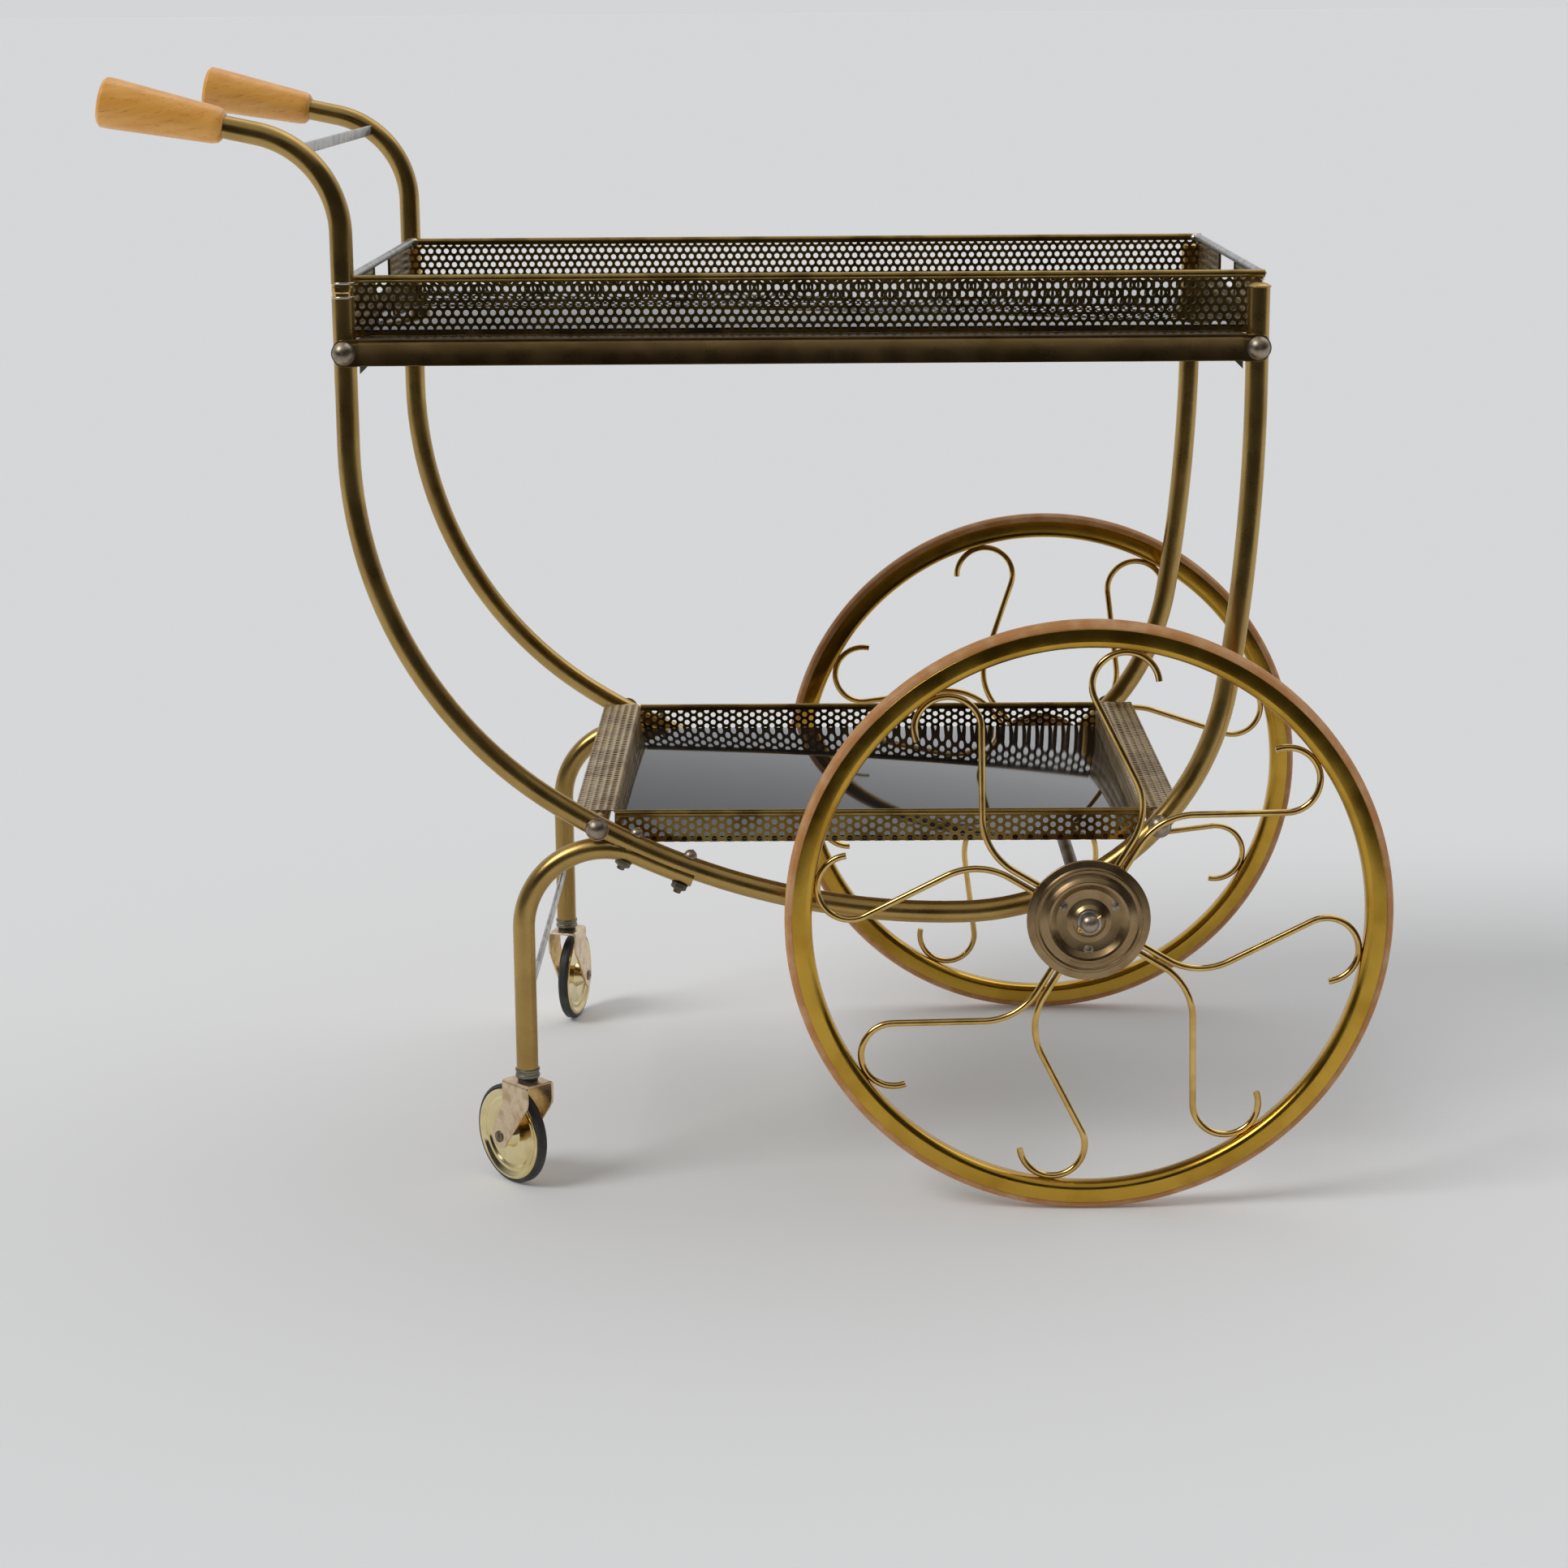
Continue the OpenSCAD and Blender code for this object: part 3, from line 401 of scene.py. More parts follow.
def metal(name, tone, dark, rough, patch, speck=0.35, speck_tone=None):
    finish, nodes, links, shader, place = new_finish(name)
    patches = levels(nodes, links, noise(nodes, links, place, patch, 4.0), 0.46, 0.62)
    specks = levels(nodes, links, noise(nodes, links, place, SPECK_SCALE, 2.0), 0.60, 0.72, 0.0, speck)
    colour = blend_tones(nodes, links, patches, tone, dark)
    colour = blend_tones(nodes, links, specks, colour, speck_tone or dark)
    links.new(colour, shader.inputs["Base Color"])
    links.new(levels(nodes, links, noise(nodes, links, place, patch * 2.3, 4.0), 0.35, 0.68, *rough),
              shader.inputs["Roughness"])
    shader.inputs["Metallic"].default_value = 1.0
    grainy(nodes, links, shader, place, GRAIN_SCALE, 0.35, GRAIN_DEPTH)
    return finish


tube_brass = metal("antique_tube_brass", (0.48, 0.32, 0.105), (0.39, 0.25, 0.08), (0.24, 0.34), 18.0)
rail_brass = metal("rail_brown_brass", (0.19, 0.125, 0.05), (0.14, 0.088, 0.033), (0.26, 0.38), 22.0)
rim_brass = metal("rim_yellow_brass", (0.58, 0.35, 0.05), (0.44, 0.25, 0.03), (0.14, 0.24), 16.0)
rod_brass = metal("rod_bright_brass", (0.74, 0.50, 0.17), (0.58, 0.37, 0.11), (0.12, 0.22), 40.0)
hub_brass = metal("hub_satin_brass", (0.36, 0.25, 0.13), (0.28, 0.185, 0.09), (0.26, 0.38), 40.0)
sheet_brass = metal("sheet_brass", (0.36, 0.245, 0.075), (0.20, 0.125, 0.035), (0.22, 0.36), 34.0)
# The end flanges get a paler brass than the walls, with pale grey specks.
flange_brass = metal("flange_pale_brass", (0.50, 0.38, 0.20), (0.34, 0.23, 0.11), (0.30, 0.46), 30.0,
                     speck_tone=(0.62, 0.60, 0.55))
pewter = metal("pewter_plate", (0.40, 0.335, 0.255), (0.30, 0.25, 0.185), (0.34, 0.46), 120.0)
bare_steel = metal("bare_steel", (0.52, 0.515, 0.50), (0.36, 0.35, 0.33), (0.30, 0.46), 60.0)
solder = metal("solder_silver", (0.74, 0.70, 0.60), (0.48, 0.40, 0.26), (0.22, 0.40), 260.0, 0.5)
dark_steel = metal("dull_dark_steel", (0.20, 0.18, 0.13), (0.12, 0.10, 0.07), (0.36, 0.5), 60.0)
ferrule_metal = metal("ferrule_grey_green", (0.27, 0.26, 0.20), (0.19, 0.17, 0.12), (0.32, 0.46), 80.0)
fork_plate = metal("fork_rose_plate", (0.78, 0.62, 0.43), (0.60, 0.43, 0.26), (0.24, 0.38), 90.0, 0.5)
disc_brass = metal("disc_pale_brass", (0.86, 0.74, 0.42), (0.72, 0.58, 0.28), (0.10, 0.18), 40.0, 0.15)
rivet_metal = metal("rivet_dark", (0.24, 0.19, 0.12), (0.15, 0.12, 0.08), (0.34, 0.46), 200.0)


# %% [markdown]
# Rubber is dull and dusty: the sheen is low, and pale dust sits in patches. The tan tyres of
# the large wheels have hardened and mottled, so their noise is stronger.

# %% Rubber
def rubber(name, tone, dusty, rough=0.62):
    finish, nodes, links, shader, place = new_finish(name)
    dust = levels(nodes, links, noise(nodes, links, place, 60.0, 5.0), 0.44, 0.66)
    links.new(blend_tones(nodes, links, dust, tone, dusty), shader.inputs["Base Color"])
    shader.inputs["Roughness"].default_value = rough
    shader.inputs["Specular IOR Level"].default_value = 0.35
    grainy(nodes, links, shader, place, 500.0, 0.4, 0.0001)
    return finish


tan_rubber = rubber("tan_rubber", (0.56, 0.26, 0.09), (0.66, 0.38, 0.19))
dark_rubber = rubber("dark_rubber", (0.030, 0.030, 0.028), (0.060, 0.060, 0.055), 0.5)


# %% [markdown]
# The grips are turned beech under a clear amber lacquer. Beech has short, fine darker flecks
# along the grain. A noise stretched along the grip's length gives the grain, a finer one the
# flecks, and the shader's coat is the lacquer.

# %% Lacquered beech
WOOD, WOOD_GRAIN, WOOD_FLECK = (0.93, 0.46, 0.085), (0.84, 0.36, 0.05), (0.50, 0.18, 0.025)
GRIP_TILT = 12


def beech(name):
    finish, nodes, links, shader, place = new_finish(name)
    tilt = nodes.new("ShaderNodeMapping")
    tilt.inputs["Rotation"].default_value = (0, math.radians(GRIP_TILT), 0)
    links.new(place, tilt.inputs["Vector"])
    along = tilt.outputs["Vector"]
    grain = levels(nodes, links, noise(nodes, links, along, 160.0, 4.0, (0.10, 1.0, 1.0)), 0.38, 0.66)
    flecks = levels(nodes, links, noise(nodes, links, along, 900.0, 2.0, (0.09, 1.0, 1.0)),
                    0.60, 0.70, 0, 0.55)
    colour = blend_tones(nodes, links, grain, WOOD, WOOD_GRAIN)
    colour = blend_tones(nodes, links, flecks, colour, WOOD_FLECK)
    links.new(colour, shader.inputs["Base Color"])
    shader.inputs["Roughness"].default_value = 0.42
    shader.inputs["Coat Weight"].default_value = 0.5
    shader.inputs["Coat Roughness"].default_value = 0.16
    return finish


# %% [markdown]
# Both trays have a black glass plate. Black glass is a near-black body with a polished face,
# so it shows little but reflections. A few dust specks and faint smears keep it from looking
# like a hole.

# %% Black glass
def black_glass_finish(name):
    finish, nodes, links, shader, place = new_finish(name)
    dust = levels(nodes, links, noise(nodes, links, place, 420.0, 1.0), 0.74, 0.80, 0.0, 0.6)
    links.new(blend_tones(nodes, links, dust, (0.010, 0.011, 0.013), (0.20, 0.20, 0.20)),
              shader.inputs["Base Color"])
    links.new(levels(nodes, links, noise(nodes, links, place, 9.0, 3.0), 0.4, 0.7, 0.02, 0.07),
              shader.inputs["Roughness"])
    shader.inputs["IOR"].default_value = 1.5
    return finish


beech_lacquer = beech("beech_lacquer")
black_glass = black_glass_finish("black_glass")
print("finishes", len(bpy.data.materials))

# %% [markdown]
# ## Where everything is
# Each place is read from the boxes of the CAD nodes. The side tubes follow one rule: a
# straight rear leg, four bends whose radii are shares of the frame's length, and a straight
# front leg. Each bend is a radius and a turn in degrees.

# %% Main places, in metres
TUBE_R = 0.008
FRAME_LEN = 0.635
JOINT_GAP = 0.011
RAIL_UP, RAIL_DOWN = 0.010, 0.009  # from the rail bolts' height to the rail's edges
GAP = 0.0001  # left between pieces that touch
tube_low, tube_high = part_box("side_tube_right")
SIDE_Y = -(tube_low.y + tube_high.y) / 2
REAR_X, FRONT_X = tube_low.x + TUBE_R, tube_high.x - TUBE_R
REAR_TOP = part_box("handle_tube_right")[0].z - JOINT_GAP
FRONT_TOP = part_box("tube_caps")[1].z - 0.0034
RAIL_Z = (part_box("corner_gussets")[1].z + 0.0017) - RAIL_UP
axle_low, axle_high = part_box("axle")
AXLE_X, AXLE_Z = (axle_low.x + axle_high.x) / 2, (axle_low.z + axle_high.z) / 2
WHEEL_Y = (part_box("wheel_tyre_left")[0].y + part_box("wheel_tyre_left")[1].y) / 2
WHEEL_R = (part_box("wheel_tyre_left")[1].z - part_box("wheel_tyre_left")[0].z) / 2
LEG_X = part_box("caster_leg_right")[0].x + TUBE_R
LEG_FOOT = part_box("caster_leg_right")[0].z
print("tubes at x", round(REAR_X, 4), round(FRONT_X, 4), "y", round(SIDE_Y, 4))
print("rail z", round(RAIL_Z, 4), "axle", round(AXLE_X, 4), round(AXLE_Z, 4))
print("wheels at y", round(WHEEL_Y, 4), "radius", round(WHEEL_R, 4))

# %% The side tubes' line
SWEEP = ((0.4806, 57.7), (0.8235, 33.5), (0.3039, 80.3), (2.238, 8.5))
bends = [(share * FRAME_LEN, turn) for share, turn in SWEEP]
first_heading = math.radians(SWEEP[0][1] - 90)
frame_low = tube_low.z + TUBE_R
rear_bend_z = (frame_low + bends[0][0] * math.cos(first_heading)
               + bends[1][0] * (1 - math.cos(first_heading)))
sweep_start = (REAR_X, REAR_TOP, -90)
sweep_steps = [(0, REAR_TOP - rear_bend_z), *bends]
sweep_corners = corners(sweep_start, sweep_steps)
sweep_steps.append((0, FRONT_TOP - sweep_corners[-1][1]))
low_centre = step_centre(sweep_corners[2], sweep_steps[2])
print("sweep corners", [(round(x, 4), round(z, 4), round(h, 1)) for x, z, h in sweep_corners])

# %% [markdown]
# ## Side tubes and their caps
# A side tube is one length of brass tube, bent in four easy curves. It could be a bevelled
# curve, but the same swept circle that the other bars use keeps the bends exact. The front end
# is closed by a pressed cap: a low dome with a thin flared rim.

# %% Side tubes
for side, s in SIDES.items():
    line = in_plane(bent(sweep_start, sweep_steps), s * SIDE_Y)
    mount(f"{side}_side_tube", bars([line], TUBE_R, tube_brass, 36), tube_brass, "frame",
          [f"side_tube_{side}"])

# %% Caps on the front tubes
cap_outline = rounded([(0, 0), (0.0086, 0), (0.0086, 0.001), (0.0080, 0.0013), (0.0062, 0.0024),
                       (0.0036, 0.0032), (0, 0.0034)], 0.0004)
caps = [turned(cap_outline, at(FRONT_X, s * SIDE_Y, FRONT_TOP), 40) for s in SIDES.values()]
mount("front_tube_caps", joined(caps), tube_brass, "frame", ["tube_caps"])

# %% [markdown]
# ## Handles
# Each handle tube is a second length of tube, joined to the side tube by an inner sleeve. The
# sleeve shows as a narrow brass neck between two beads of solder. The tube rises, bends back,
# and ends inside a turned wooden grip.

# %% Handle tubes, sleeves and solder beads
HANDLE_STEPS = [(0, 0.033), (0.070, 78), (0, 0.0725)]
handle_start = (REAR_X, REAR_TOP + JOINT_GAP, 90)
sleeves, beads = [], []
for side, s in SIDES.items():
    line = in_plane(bent(handle_start, HANDLE_STEPS), s * SIDE_Y)
    mount(f"{side}_handle_tube", bars([line], TUBE_R, tube_brass, 36), tube_brass, "frame",
          [f"handle_tube_{side}"])
    neck = rounded([(0, -0.001), (0.0076, -0.001), (0.0076, 0.0035), (0.0079, 0.0045), (0.0079, 0.0075),
                    (0.0076, 0.0085), (0.0076, 0.012), (0, 0.012)], 0.0006)
    sleeves.append(turned(neck, at(REAR_X, s * SIDE_Y, REAR_TOP), 40))
    for z in (0.0006, JOINT_GAP - 0.0006):
        bead = rounded([(0.0070, -0.0009), (0.0082, -0.0007), (0.0084, 0), (0.0082, 0.0007),
                        (0.0070, 0.0009)], 0.0004)
        beads.append(turned(bead, at(REAR_X, s * SIDE_Y, REAR_TOP + z), 40))
mount("handle_joint_sleeves", joined(sleeves), rod_brass, "frame", ["joint_sleeves"])
mount("handle_joint_solder", joined(beads), solder, "frame")

# %% Turned grips
grip_x, grip_z, grip_h = step_end(corners(handle_start, HANDLE_STEPS[:2])[-1], (0, 0.0225))
GRIP_LEN, GRIP_R, NOSE_R, BORE_R = 0.0855, 0.0173, 0.0128, 0.0081
grip_outline = rounded([
    (0, 0.050, 0), (BORE_R, 0.050, 0), (BORE_R, 0, 0.0002), (NOSE_R - 0.0036, 0, 0.0008),
    (NOSE_R - 0.0011, 0.0021, 0.003), (NOSE_R, 0.006, 0.008), (GRIP_R, GRIP_LEN - 0.0088, 0.012),
    (GRIP_R, GRIP_LEN - 0.0024, 0.0012), (GRIP_R - 0.0024, GRIP_LEN, 0.0012), (0, GRIP_LEN + 0.0003, 0)],
    0.001, 5)
for side, s in SIDES.items():
    place = at(grip_x, s * SIDE_Y, grip_z) @ spun(90 - grip_h, "Y")
    mount(f"{side}_grip", turned(grip_outline, place, 72), beech_lacquer, "frame",
          [f"grip_{side}"])

# %% Stay between the handle tubes
stay = step_end(step_end(handle_start, HANDLE_STEPS[0]), (0.070, 54))
stay_reach = SIDE_Y - TUBE_R - 0.0001
stay_place = at(stay[0], 0, stay[1]) @ spun(8, "Y") @ spun(90, "X") @ at(0, 0, -stay_reach)
stay_section = box_outline(-0.00125, -0.004, 0.00125, 0.004)
mount("handle_stay_bar", slab(rounded(stay_section, 0.0008), 2 * stay_reach, stay_place), bare_steel,
      "frame", ["handle_stay"])
print("grips start at", round(grip_x, 4), round(grip_z, 4))

# %% [markdown]
# ## Side rails
# A side rail is pressed from sheet: a flat strap on the outside of the tubes, with a rolled
# top edge, and a ledge folded inwards that carries the tray. Near each bolt it steps down a
# little and ends in a rounded tab. That is a shape that changes along its length, so it is
# lofted: one closed section after another, joined by a skin.

# %% A loft through closed sections
def loft(sections):
    count = len(sections[0])
    points = [p for section in sections for p in section]
    faces = [tuple(range(count))]
    for i in range(len(sections) - 1):
        for k in range(count):
            n = (k + 1) % count
            faces.append((i * count + k, i * count + n, (i + 1) * count + n, (i + 1) * count + k))
    faces.append(tuple(reversed(range((len(sections) - 1) * count, len(sections) * count))))
    return mesh_of(points, faces)


# %% Side rails
RAIL_TOP, RAIL_LOW = RAIL_Z + RAIL_UP, RAIL_Z - RAIL_DOWN
strap_in, strap_out = SIDE_Y + TUBE_R + GAP, SIDE_Y + TUBE_R + 0.0017
ledge_in = SIDE_Y - TUBE_R - 0.009
TAB_REACH = 0.0079


def rail_section(x, s, ledge, top, low):
    """ledge is 1 where the ledge is full and 0 where there is only the strap."""
    inner = strap_in + (ledge_in - strap_in) * ledge
    roll = 0.0006 + 0.0004 * ledge
    outline = [(strap_in, low + 0.0004), (strap_in + 0.0004, low), (strap_out - 0.0006, low),
               (strap_out, low + 0.0006), (strap_out, top - 0.0042), (strap_out + roll * 0.5, top - 0.0034),
               (strap_out + roll, top - 0.0024), (strap_out + roll, top - 0.0014),
               (strap_out + roll * 0.55, top - 0.0004), (strap_out - 0.0004, top), (strap_in + 0.0002, top),
               (inner, top - 0.0001), (inner, top - 0.0015), (strap_in, top - 0.0016)]
    return [(x, s * y, z) for y, z in outline]


def tab_reach(x):
    """How far the tab's rounded end reaches above and below its middle at x past the bolt."""
    past = max(0.0, min(1.0, x / TAB_REACH))
    return math.sqrt(max(0.0, 1 - past ** 2.6))


def rail_sections(s):
    sections = []
    for x0, way in ((REAR_X, 1), (FRONT_X, -1)):
        end = []
        for share in (1.0, 0.97, 0.9, 0.78, 0.6, 0.4, 0.2, 0.0):
            reach = tab_reach(share * TAB_REACH)
            middle = RAIL_Z - 0.0001
            end.append(rail_section(x0 - way * share * TAB_REACH, s, 0.0, middle + 0.0005 + 0.0090 * reach,
                                    middle - 0.0005 - 0.0090 * reach))
        for x, ledge, drop in ((0.006, 0.0, 1.0), (0.0085, 0.0, 0.7), (0.0108, 0.0, 0.2), (0.0111, 1.0, 0.15),
                               (0.014, 1.0, 0.0)):
            end.append(rail_section(x0 + way * x, s, ledge, RAIL_TOP - 0.0006 * drop,
                                    RAIL_LOW - 0.0006 * drop))
        sections.append(end)
    return sections[0] + sections[1][::-1]


for side, s in SIDES.items():
    mount(f"{side}_side_rail", loft(rail_sections(s)), rail_brass, "frame",
          [f"side_rail_{side}"])

# %% End rails
end_low, end_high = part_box("end_rails")
angle_section = rounded([(-0.008, RAIL_LOW), (-0.0064, RAIL_LOW), (-0.0064, RAIL_TOP - 0.0016),
                         (0.014, RAIL_TOP - 0.0016), (0.014, RAIL_TOP), (-0.008, RAIL_TOP, 0.0015)], 0.0004)
end_rails = []
for x0, way in ((REAR_X, 1), (FRONT_X, -1)):
    place = at(x0, end_high.y, 0) @ Matrix.Diagonal((way, 1, 1, 1)) @ spun(90, "X")
    mesh = slab(angle_section, end_high.y - end_low.y, place)
    if way < 0:
        mesh.flip_normals()
    end_rails.append(mesh)
mount("end_rail_angles", joined(end_rails), rail_brass, "frame", ["end_rails"])

# %% [markdown]
# ## Bolts
# Large domed bolts hold the rails and cross bars, and smaller ones hold the caster legs. One
# tree copies any part to a list of points. Each point carries its own turn, so the same tree
# serves heads that face sideways, nuts that lean with the tube, and hub screws.

# %% The tree that copies a part to points
def copy_tree():
    tree, given, end = new_tree("part_at_points", [
        ("Points", "NodeSocketGeometry"), ("Part", "NodeSocketObject"), ("Finish", "NodeSocketMaterial")])
    add, link = tree.nodes.new, tree.links.new
    part = add("GeometryNodeObjectInfo")
    turn = add("GeometryNodeInputNamedAttribute")
    turn.data_type = "FLOAT_VECTOR"
    turn.inputs["Name"].default_value = "turn"
    rotation = add("FunctionNodeEulerToRotation")
    copies = add("GeometryNodeInstanceOnPoints")
    link(given.outputs["Part"], part.inputs["Object"])
    link(turn.outputs["Attribute"], rotation.inputs["Euler"])
    link(given.outputs["Points"], copies.inputs["Points"])
    link(part.outputs["Geometry"], copies.inputs["Instance"])
    link(rotation.outputs["Rotation"], copies.inputs["Rotation"])
    return painted(tree, given, end, realised(tree, copies.outputs["Instances"]))


COPIES = copy_tree()


def copies(part_mesh, places, finish):
    """places is a list of matrices."""
    points = bpy.data.meshes.new("points")
    points.from_pydata([tuple(m.translation) for m in places], [], [])
    turns = points.attributes.new("turn", "FLOAT_VECTOR", "POINT")
    turns.data.foreach_set("vector", [a for m in places for a in m.to_euler()])
    part = bpy.data.objects.new("part", part_mesh)
    made = grown(points, COPIES, {"Part": part, "Finish": finish})
    bpy.data.objects.remove(part)
    return made


def outward(x, y, z, s):
    """Z of the part points out of the trolley's side s."""
    return at(x, s * y, z) @ spun(-90 * s, "X")


# %% Domed bolts and their nuts
def dome_outline(radius, height, rim):
    """A dome on a thin rim, with a small nib left by the turning."""
    ball = (radius * radius + height * height) / (2 * height)
    outline = [(0, 0), (radius + rim, 0), (radius + rim, 0.0007), (radius, 0.0008)]
    for k in range(1, 9):
        r = radius * math.cos(math.radians(90) * k / 9)
        outline.append((r, max(0.0008, height - ball + math.sqrt(ball * ball - r * r))))
    return outline + [(0.0009, height), (0.0007, height + 0.00045), (0, height + 0.0005)]


def hexagon(flats):
    r = flats / 2 / math.cos(math.radians(30))
    return [(r * math.cos(math.radians(60 * k)), r * math.sin(math.radians(60 * k))) for k in range(6)]


def nut(flats, height, thread):
    """A hexagon nut with a bolt end that stands a little proud."""
    body = slab(hexagon(flats), height, Matrix(), 0.0005)
    end = turned(rounded(box_outline(0, 0.0001, 0.0029, height + thread), 0.0005), Matrix(), 24)
    return joined([body, end])


big_dome = turned(dome_outline(0.0080, 0.0062, 0.0004), Matrix(), 48)
rail_places = [outward(x, strap_out, RAIL_Z, s) for x in (REAR_X, FRONT_X) for s in SIDES.values()]
rail_nuts = [outward(x, SIDE_Y - TUBE_R - 0.0001, RAIL_Z, s) @ spun(180, "X")
             for x in (REAR_X, FRONT_X) for s in SIDES.values()]
domes = copies(big_dome.copy(), rail_places, pewter)
nuts = copies(nut(0.010, 0.004, 0.001), rail_nuts, pewter)
mount("rail_bolt_domes", joined([domes, nuts]), pewter, "frame", ["rail_bolts"])

cross_low, cross_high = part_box("lower_cross_bars")
CROSS_Z, CROSS_R = (cross_low.z + cross_high.z) / 2, (cross_high.z - cross_low.z) / 2
CROSS_X = (cross_low.x + CROSS_R, cross_high.x - CROSS_R)
cross_places = [outward(x, SIDE_Y + TUBE_R + 0.0001, CROSS_Z, s) for x in CROSS_X for s in SIDES.values()]
mount("cross_bar_domes", copies(big_dome.copy(), cross_places, pewter), pewter, "frame",
      ["cross_bar_bolts"])
print("cross bars at x", [round(x, 4) for x in CROSS_X], "z", round(CROSS_Z, 4))

# %% Lower cross bars and the brace between the legs
lines = [[(x, cross_low.y, CROSS_Z), (x, cross_high.y, CROSS_Z)] for x in CROSS_X]
mount("lower_cross_bar_tubes", bars(lines, CROSS_R, tube_brass, 32), tube_brass, "frame",
      ["lower_cross_bars"])
brace_low, brace_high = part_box("leg_brace")
brace = slab(rounded(box_outline(-0.0015, -0.004, 0.0015, 0.004), 0.0008), brace_high.y - brace_low.y,
             at(LEG_X, brace_high.y, (brace_low.z + brace_high.z) / 2) @ spun(90, "X"))
mount("leg_brace_bar", brace, bare_steel, "frame", ["leg_brace"])

# %% [markdown]
# ## Caster legs
# A caster leg rises, bends forward and lies along the underside of the side tube. There it is
# pressed into a saddle that hugs the tube, which leaves a thin crescent edge. The leg is
# lofted from round rings, and every ring point that would enter the side tube is pushed back
# to the saddle's face.

# %% The leg's line, and its saddle
LEG_BEND, LEG_DROP = 0.060, 0.0055
tube_bend = bends[1][0]
tail_r = tube_bend + LEG_DROP
leg_h = math.degrees(math.asin((LEG_X + LEG_BEND - low_centre[0]) / (tail_r + LEG_BEND)))
leg_top = low_centre[1] - (tail_r + LEG_BEND) * math.cos(math.radians(leg_h))
BOLT_PITCH, BOLT_LEAD, TAIL_END = 0.043, 0.0088, 0.0075
leg_steps = [(0, leg_top - LEG_FOOT), (LEG_BEND, leg_h - 90),
             (tail_r, math.degrees((BOLT_PITCH - BOLT_LEAD + TAIL_END) / tail_r))]
bolt_headings = [leg_h - math.degrees(BOLT_LEAD / tail_r),
                 leg_h + math.degrees((BOLT_PITCH - BOLT_LEAD) / tail_r)]
SADDLE_R, LEG_SIDES = TUBE_R + GAP, 44


def leg_ring(point, y0):
    x, z, h = point
    ring = []
    for k in range(LEG_SIDES):
        a = 2 * math.pi * k / LEG_SIDES
        y, out = TUBE_R * math.sin(a), TUBE_R * math.cos(a)
        px = x - out * math.sin(math.radians(h))
        pz = z + out * math.cos(math.radians(h))
        dx, dz = px - low_centre[0], pz - low_centre[1]
        reach = math.hypot(dx, dz)
        least = tube_bend + math.sqrt(max(0.0, SADDLE_R ** 2 - y ** 2))
        if tube_bend - SADDLE_R < reach < least:
            px, pz = low_centre[0] + dx * least / reach, low_centre[1] + dz * least / reach
        ring.append((px, y0 + y, pz))
    return ring


leg_line = bent((LEG_X, LEG_FOOT, 90), leg_steps, 0.004)
for side, s in SIDES.items():
    mount(f"{side}_caster_leg", loft([leg_ring(p, s * SIDE_Y) for p in leg_line]), tube_brass, "frame",
          [f"caster_leg_{side}"])
print("leg bolts at headings", [round(h, 2) for h in bolt_headings])

# %% Leg bolts and nuts
def leg_bolt_place(heading, s):
    a = math.radians(heading)
    return (at(low_centre[0] + tube_bend * math.sin(a), s * SIDE_Y, low_centre[1] - tube_bend * math.cos(a))
            @ spun(-heading, "Y"))


seats = [leg_bolt_place(h, s) for h in bolt_headings for s in SIDES.values()]
small_dome = turned(dome_outline(0.0048, 0.0052, 0.0003), at(0, 0, TUBE_R - 0.0005), 36)
mount("leg_bolt_domes", copies(small_dome, seats, pewter), pewter, "frame", ["leg_bolts"])
NUT_SEAT = LEG_DROP + TUBE_R
leg_nut = nut(0.010, 0.005, 0.003)
washer = turned(rounded(box_outline(0.003, 0, 0.0066, 0.0008), 0.0002), Matrix(), 32)
nut_stack = joined([leg_nut, washer])
nut_stack.transform(at(0, 0, -NUT_SEAT + 0.0006) @ spun(180, "X"))
mount("leg_bolt_nuts", copies(nut_stack, seats, dark_steel), dark_steel, "frame", ["leg_nuts"])

# %% [markdown]
# ## Perforated sheet
# The tray walls are brass sheet with round holes in a triangular pattern, two holes to a tile
# of 6.3 by 10.9 mm. Cutting thousands of holes with booleans would be slow. So one flat tile
# is drawn with its holes already in it, a tree repeats it on a grid and welds the tiles, and
# the sheet is then trimmed, thickened and put in place.

# %% One tile with its holes
HOLE_R, TILE_W, TILE_H = 0.0021, 0.0063, 0.010912


def hole_tile():
    w, h, r = TILE_W / 2, TILE_H / 2, HOLE_R
    arc = [(r * math.cos(math.radians(a)), r * math.sin(math.radians(a))) for a in (0, 30, 60, 90)]
    far = [(w - x, h - y) for x, y in arc[::-1]]
    quads = [(arc[0], (w, 0), far[0], arc[1]), (arc[1], far[0], far[1], arc[2]),
             (arc[2], far[1], far[2], arc[3]), (arc[3], far[2], far[3], (0, h))]
    points, faces = [], []
    for mx in (1, -1):
        for my in (1, -1):
            for quad in quads:
                order = quad if mx * my > 0 else quad[::-1]
                faces.append(tuple(range(len(points), len(points) + 4)))
                points += [(mx * x, my * y, 0) for x, y in order]
    return mesh_of(points, faces)


